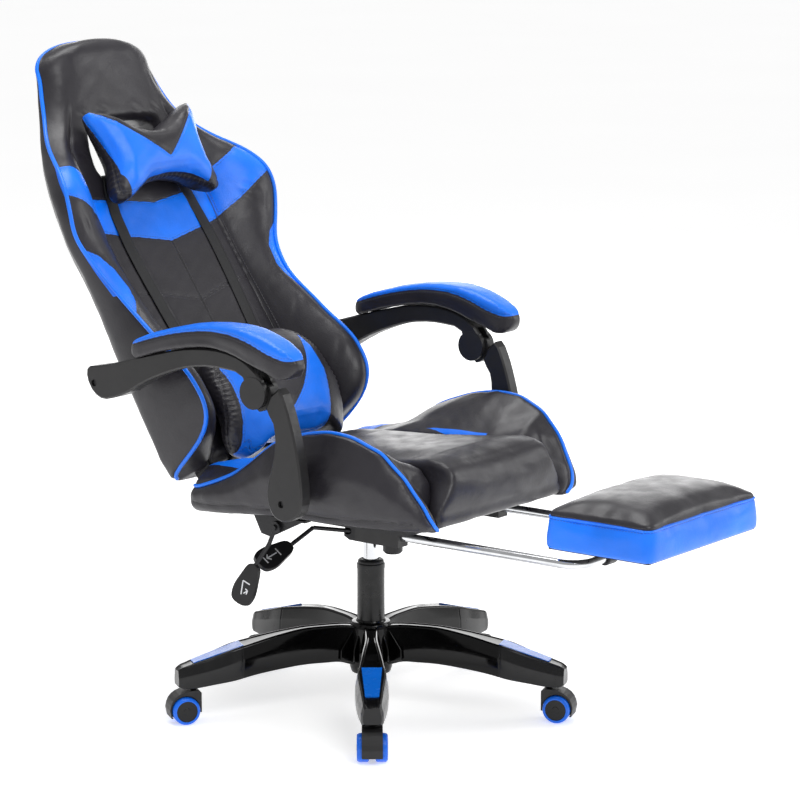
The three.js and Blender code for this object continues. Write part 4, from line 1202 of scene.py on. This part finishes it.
def make_wheels():
    profile = [
        [0.02, 6.0], [4.6, 6.0], [4.8, 5.4], [12, 5.4], [20, 5.3], [23.2, 5.9], [24.6, 7.6], [25, 9.5],
        [25, 21.5], [24.6, 23.6], [23.4, 25.6], [21.8, 26.6], [19.4, 26.8], [18.9, 26.4], [18.7, 25.4],
        [18.2, 25.2],
        [12, 25.6], [6.5, 26.3], [6.2, 26.9], [3, 27.1], [0.02, 27.1],
    ]

    def rim_or_disc(step):
        return 0 if 3 < step < 13 else 1

    for k, angle in enumerate(LEG_ANGLES):
        centre = turned_about([CASTER_R + CASTER_TRAIL, 0, WHEEL_R], angle)
        for letter, sign in (("a", 1), ("b", -1)):
            name = f"wheel_{k + 1}{letter}"
            axis = turned_about([0, sign, 0], angle)
            wheel = lathe(name, profile, centre, axis, [PLASTIC_BLUE, NYLON_TIP], 48, rim_or_disc)
            finish_edges(wheel, 0.5, 2)
            piece(wheel, name, "plastic_blue", f"caster_{name}")


def make_lift():
    tube_profile = [
        [0.02, 70], [20, 70], [22.5, 74], [24.9, 110], [25, 112], [25, 255], [25.6, 256], [25.6, 264],
        [24.6, 266], [16, 266.5], [15.4, 265.5], [14.5, 264], [14.5, 146], [0.02, 146],
    ]
    outer = lathe("gas_tube", tube_profile, CENTRE, UPRIGHT, [GAS_BLACK], 64)
    finish_edges(outer, 0.6, 2)
    piece(outer, "base", "nylon_black", "gas_cylinder")
    rod_profile = [[0.02, 185], [13.6, 185], [14, 186], [14, 330], [13.2, 341], [0.02, 342]]
    inner = lathe("piston_rod", rod_profile, CENTRE, UPRIGHT, [CHROME], 64)
    finish_edges(inner, 0.6, 2)
    piece(inner, "lift", "chrome", "gas_piston")
    collar = [[14.6, 262], [21.5, 262], [23.5, 265], [23.5, 270], [21, 272.5], [16, 273.5], [14.6, 272]]
    ring = lathe("gas_collar", collar + collar[:1], CENTRE, UPRIGHT, [PLASTIC], 64)
    piece(ring, "base", "plastic_black")


make_wheels()
make_lift()

# Distance out, underside, top, width at the top and width below.
TIP_START = 250
LEG_ROWS = [
    [14, 76, 150, 26, 30], [40, 80, 154, 24, 28], [60, 86, 156, 21, 26], [92, 87.5, 156.5, 20, 27],
    [125, 88, 156, 20, 30], [180, 85, 149, 30, 42], [245, 77, 136, 44, 56], [250, 76, 135, 45, 57],
    [300, 69, 120, 38, 54], [345, 64, 107, 30, 42], [358, 65, 102.5, 27, 38], [365, 68, 98, 22, 31],
]


def leg_ring(r, low, high, top, below):
    """The leg's section: upright glossy sides, a raised edge along the top and a shallow tray between."""
    tall = high - low
    right = [
        [below / 2 - 5, low], [below / 2 - 1.5, low + 1.2], [below / 2, low + 5],
        [below / 2 + 0.4, low + 0.3 * tall], [below / 2, low + 0.56 * tall],
        [below / 2 - 1.2, low + 0.64 * tall], [top / 2 + 2.2, high - 4.5],
        [top / 2 + 1, high - 1.6], [top / 2 - 1.2, high - 0.2], [top / 2 - 3, high],
        [top / 2 - 4.6, high - 0.8],
        [top / 2 - 5.6, high - 1.6],
    ]
    points = right + [[-u, v] for u, v in reversed(right)]
    return [[r, u, v] for u, v in points]


def make_star():
    """The five legs with their tip blocks, the hub, and the small fins between the legs."""
    leg_r = np.unique(np.concatenate([np.linspace(14, 245, 34), [247.5, 248.2, 250.4, 251.1],
                                      np.linspace(253, 345, 14), np.linspace(348, 365, 7)]))
    legs = []
    for k, angle in enumerate(LEG_ANGLES):
        rings = []
        for r in leg_r:
            low, high, top, below = hermite(LEG_ROWS, r)
            notch = 1.1 if 247.9 < r < 250.7 else 0.0
            ring = np.array(leg_ring(r, low, high, top - 2 * notch, below - 2 * notch))
            rings.append(turned_about(ring, angle))
        leg = rings_object(f"star_leg_{k + 1}", rings, [NYLON, NYLON_TIP])
        tip = np.hypot(*column([p.center for p in leg.data.polygons])[:, :2].T) > TIP_START
        leg.data.polygons.foreach_set("material_index", tip.astype(np.int32))
        finish_edges(leg, 0.6, 2, 40)
        legs.append(leg)
    hub_profile = [
        [25.6, 66], [30, 62.5], [36, 64], [39, 74], [39.5, 100], [39, 146], [37.5, 153], [34.5, 157.5],
        [31, 158.4], [27.6, 158], [26.4, 161], [25.5, 161.5], [25.5, 150], [25.5, 80],
    ]
    hub = lathe("star_hub", hub_profile + hub_profile[:1], CENTRE, UPRIGHT, [NYLON], 72)
    finish_edges(hub, 0.6, 2, 40)
    piece(hub, "base", "nylon_black")
    for k, leg in enumerate(legs):
        piece(leg, "base", "nylon_black", *(["base_star"] if k == 0 else []))
        middle = LEG_ANGLES[k] + 36
        for place, lean, reach, tall in (("left", -19, 30, 150), ("right", 19, 30, 150), ("mid", 0, 16, 140)):
            fin = [[34, 84], [38 + reach, 92], [37 + reach, 112], [42, tall - 6], [36, tall]]
            rings = [turned_about([[r, side * 2.1, z] for r, z in fin], middle + lean) for side in (-1, 1)]
            web = rings_object(f"star_fin_{k + 1}_{place}", rings, [NYLON])
            finish_edges(web, 1.3, 3)
            piece(web, "base", "nylon_black")


def paddle_mark(name, start, end, normal, body, lift, glyph):
    """A small printed sign on the outer face of a lever's paddle, made of flat strokes."""
    start, end = np.array(start, float), np.array(end, float)
    along = (end - start) / np.linalg.norm(end - start)
    across = np.cross(normal, along)
    across /= np.linalg.norm(across)
    face = np.cross(along, across)
    middle = start + along * np.linalg.norm(end - start) * 0.66 + face * lift
    verts, faces = [], []
    for x0, y0, x1, y1, wide in glyph:
        way = np.array([x1 - x0, y1 - y0], float)
        way /= np.linalg.norm(way)
        off = np.array([-way[1], way[0]]) * wide / 2
        base = len(verts)
        for height in (-0.4, 0.35):
            for p in ([x0, y0] + off, [x0, y0] - off, [x1, y1] - off, [x1, y1] + off):
                verts.append(middle + across * p[0] + along * p[1] + face * height)
        quads = [(0, 1, 2, 3), (7, 6, 5, 4), (0, 4, 5, 1), (1, 5, 6, 2), (2, 6, 7, 3), (3, 7, 4, 0)]
        faces += [tuple(base + i for i in q) for q in quads]
    mark = mesh_object(name, verts, faces, [PRINT], smooth=False)
    piece(mark, body, "plastic_black")


make_star()
UP_DOWN = [
    (0, -15, 0, 9, 2.2), (0, 9, -6, 3, 2.2), (0, 9, 6, 3, 2.2), (-9, 14, 9, 14, 2.2), (-8, -19, 8, -19, 2.2),
]
TILTED = [
    (-8, -14, 8, -14, 2.2), (-8, -14, -1, 10, 2.2), (3, 6, 9, -2, 2.0), (9, -2, 9, 5, 2.0),
    (9, -2, 3, -3, 2.0),
]
paddle_mark("height_sign", [-131, 82, 309], [-204, 92, 288], [-0.5, -0.5, 0.6], "height_lever", 4.6, UP_DOWN)
paddle_mark("recline_sign", [-226, 84, 290], [-240, 108, 224], [-1, 0, 0], "recline_lever", 4.6, TILTED)

HARD = {
    "mechanism_housing": (STEEL, 1.6), "tension_knob": (PLASTIC, 1.0),
    "height_lever_bar": (STEEL, 0.8), "height_lever_paddle": (PLASTIC_SMOOTH, 2.2),
    "recline_lever_bar": (STEEL, 0.8), "recline_lever_paddle": (PLASTIC_SMOOTH, 2.2),
    "seat_frame": (STEEL, 1.0), "seat_plate": (STEEL, 0.8), "lever_bracket": (STEEL, 0.8),
    "back_frame": (STEEL, 0.6), "footrest_bracket": (STEEL, 0.8),
}
for side in ("left", "right"):
    HARD.update({
        f"recliner_plate_{side}": (STEEL, 0.9), f"back_plate_{side}": (STEEL, 0.9),
        f"recline_pin_{side}": (BOLT, 0.8), f"arm_bar_{side}": (PLASTIC_SMOOTH, 2.6),
        f"arm_leg_{side}": (PLASTIC_SMOOTH, 2.6), f"arm_rear_bolt_{side}": (STEEL, 0.8),
        f"arm_foot_bolt_{side}": (STEEL, 0.8), f"rail_guide_{side}": (PLASTIC, 1.2),
    })
for k in range(5):
    HARD[f"base_insert_{k + 1}"] = (INSERT_BLUE, 0.9)
    HARD[f"caster_hood_{k + 1}"] = (PLASTIC, 1.6)
for node, (material, width) in HARD.items():
    obj = frame["nodes"][node]
    obj.data.materials.clear()
    obj.data.materials.append(material)
    finish_edges(obj, width)


# ---------------------------------------------------------------- stage, light and camera
FLOOR_Z, FLOOR_HALF = -0.0006, 150


def stage_material():
    mat, tree, shader = node_material("stage_floor")
    tone = ramp(tree, noise(tree, 0.7, 2.0), 0.2, 0.8)
    pale = mix_colour(tree, tone, (0.93, 0.93, 0.93), (0.96, 0.96, 0.96))
    tree.links.new(pale, shader.inputs["Base Color"])
    shader.inputs["Roughness"].default_value = 0.85
    shader.inputs["Specular IOR Level"].default_value = 0.1
    shader.inputs["Emission Color"].default_value = (1.0, 1.0, 1.0, 1.0)
    shader.inputs["Emission Strength"].default_value = 0.5
    return mat


floor_mesh = bpy.data.meshes.new("floor")
floor_corners = [(FLOOR_HALF * x, FLOOR_HALF * y, FLOOR_Z) for x, y in ((-1, -1), (1, -1), (1, 1), (-1, 1))]
floor_mesh.from_pydata(floor_corners, [], [(0, 1, 2, 3)])
floor = bpy.data.objects.new("floor", floor_mesh)
SCENE.collection.objects.link(floor)
floor_mesh.materials.append(stage_material())

sky = bpy.data.worlds.new("studio")
sky.use_nodes = True
sky.node_tree.nodes["Background"].inputs["Color"].default_value = (1.0, 1.0, 1.0, 1.0)
sky.node_tree.nodes["Background"].inputs["Strength"].default_value = 0.5
SCENE.world = sky


def area_light(name, place, target, size, power):
    data = bpy.data.lights.new(name, "AREA")
    data.shape = "RECTANGLE"
    data.size, data.size_y = size
    data.energy = power
    light = bpy.data.objects.new(name, data)
    SCENE.collection.objects.link(light)
    light.location = place
    light.rotation_mode = "QUATERNION"
    light.rotation_quaternion = (Vector(target) - Vector(place)).to_track_quat("-Z", "Y")


area_light("key", (-1.6, -3.0, 3.4), (0, 0, 0.6), (2.2, 1.4), 64)
area_light("fill", (3.0, -2.4, 1.9), (0, 0, 0.6), (1.4, 2.2), 30)
area_light("top", (0.2, 0.6, 3.6), (0, 0, 0.6), (2.4, 1.6), 62)
area_light("backdrop", (4.6, 3.4, 1.7), (0, 0, 0.7), (5.0, 2.6), 95)

CAMERA_PLACE = [-4120.5, -3184.7, 1507.3]
CAMERA_LENS = 132.8
camera_data = bpy.data.cameras.new("camera")
camera_data.lens = CAMERA_LENS
camera_data.sensor_width = 36.0
camera_data.clip_start, camera_data.clip_end = 0.1, 400.0
camera = bpy.data.objects.new("camera", camera_data)
SCENE.collection.objects.link(camera)
ahead = np.array([0.7846, 0.5938, -0.1782])
right = np.array([0.6035, -0.7974, 0.0])
above = np.cross(right, ahead)
turn = Matrix((right, above, -ahead)).transposed().to_4x4()
camera.matrix_world = Matrix.Translation(Vector(world(CAMERA_PLACE))) @ turn
SCENE.camera = camera
SCENE.view_settings.view_transform = "Standard"
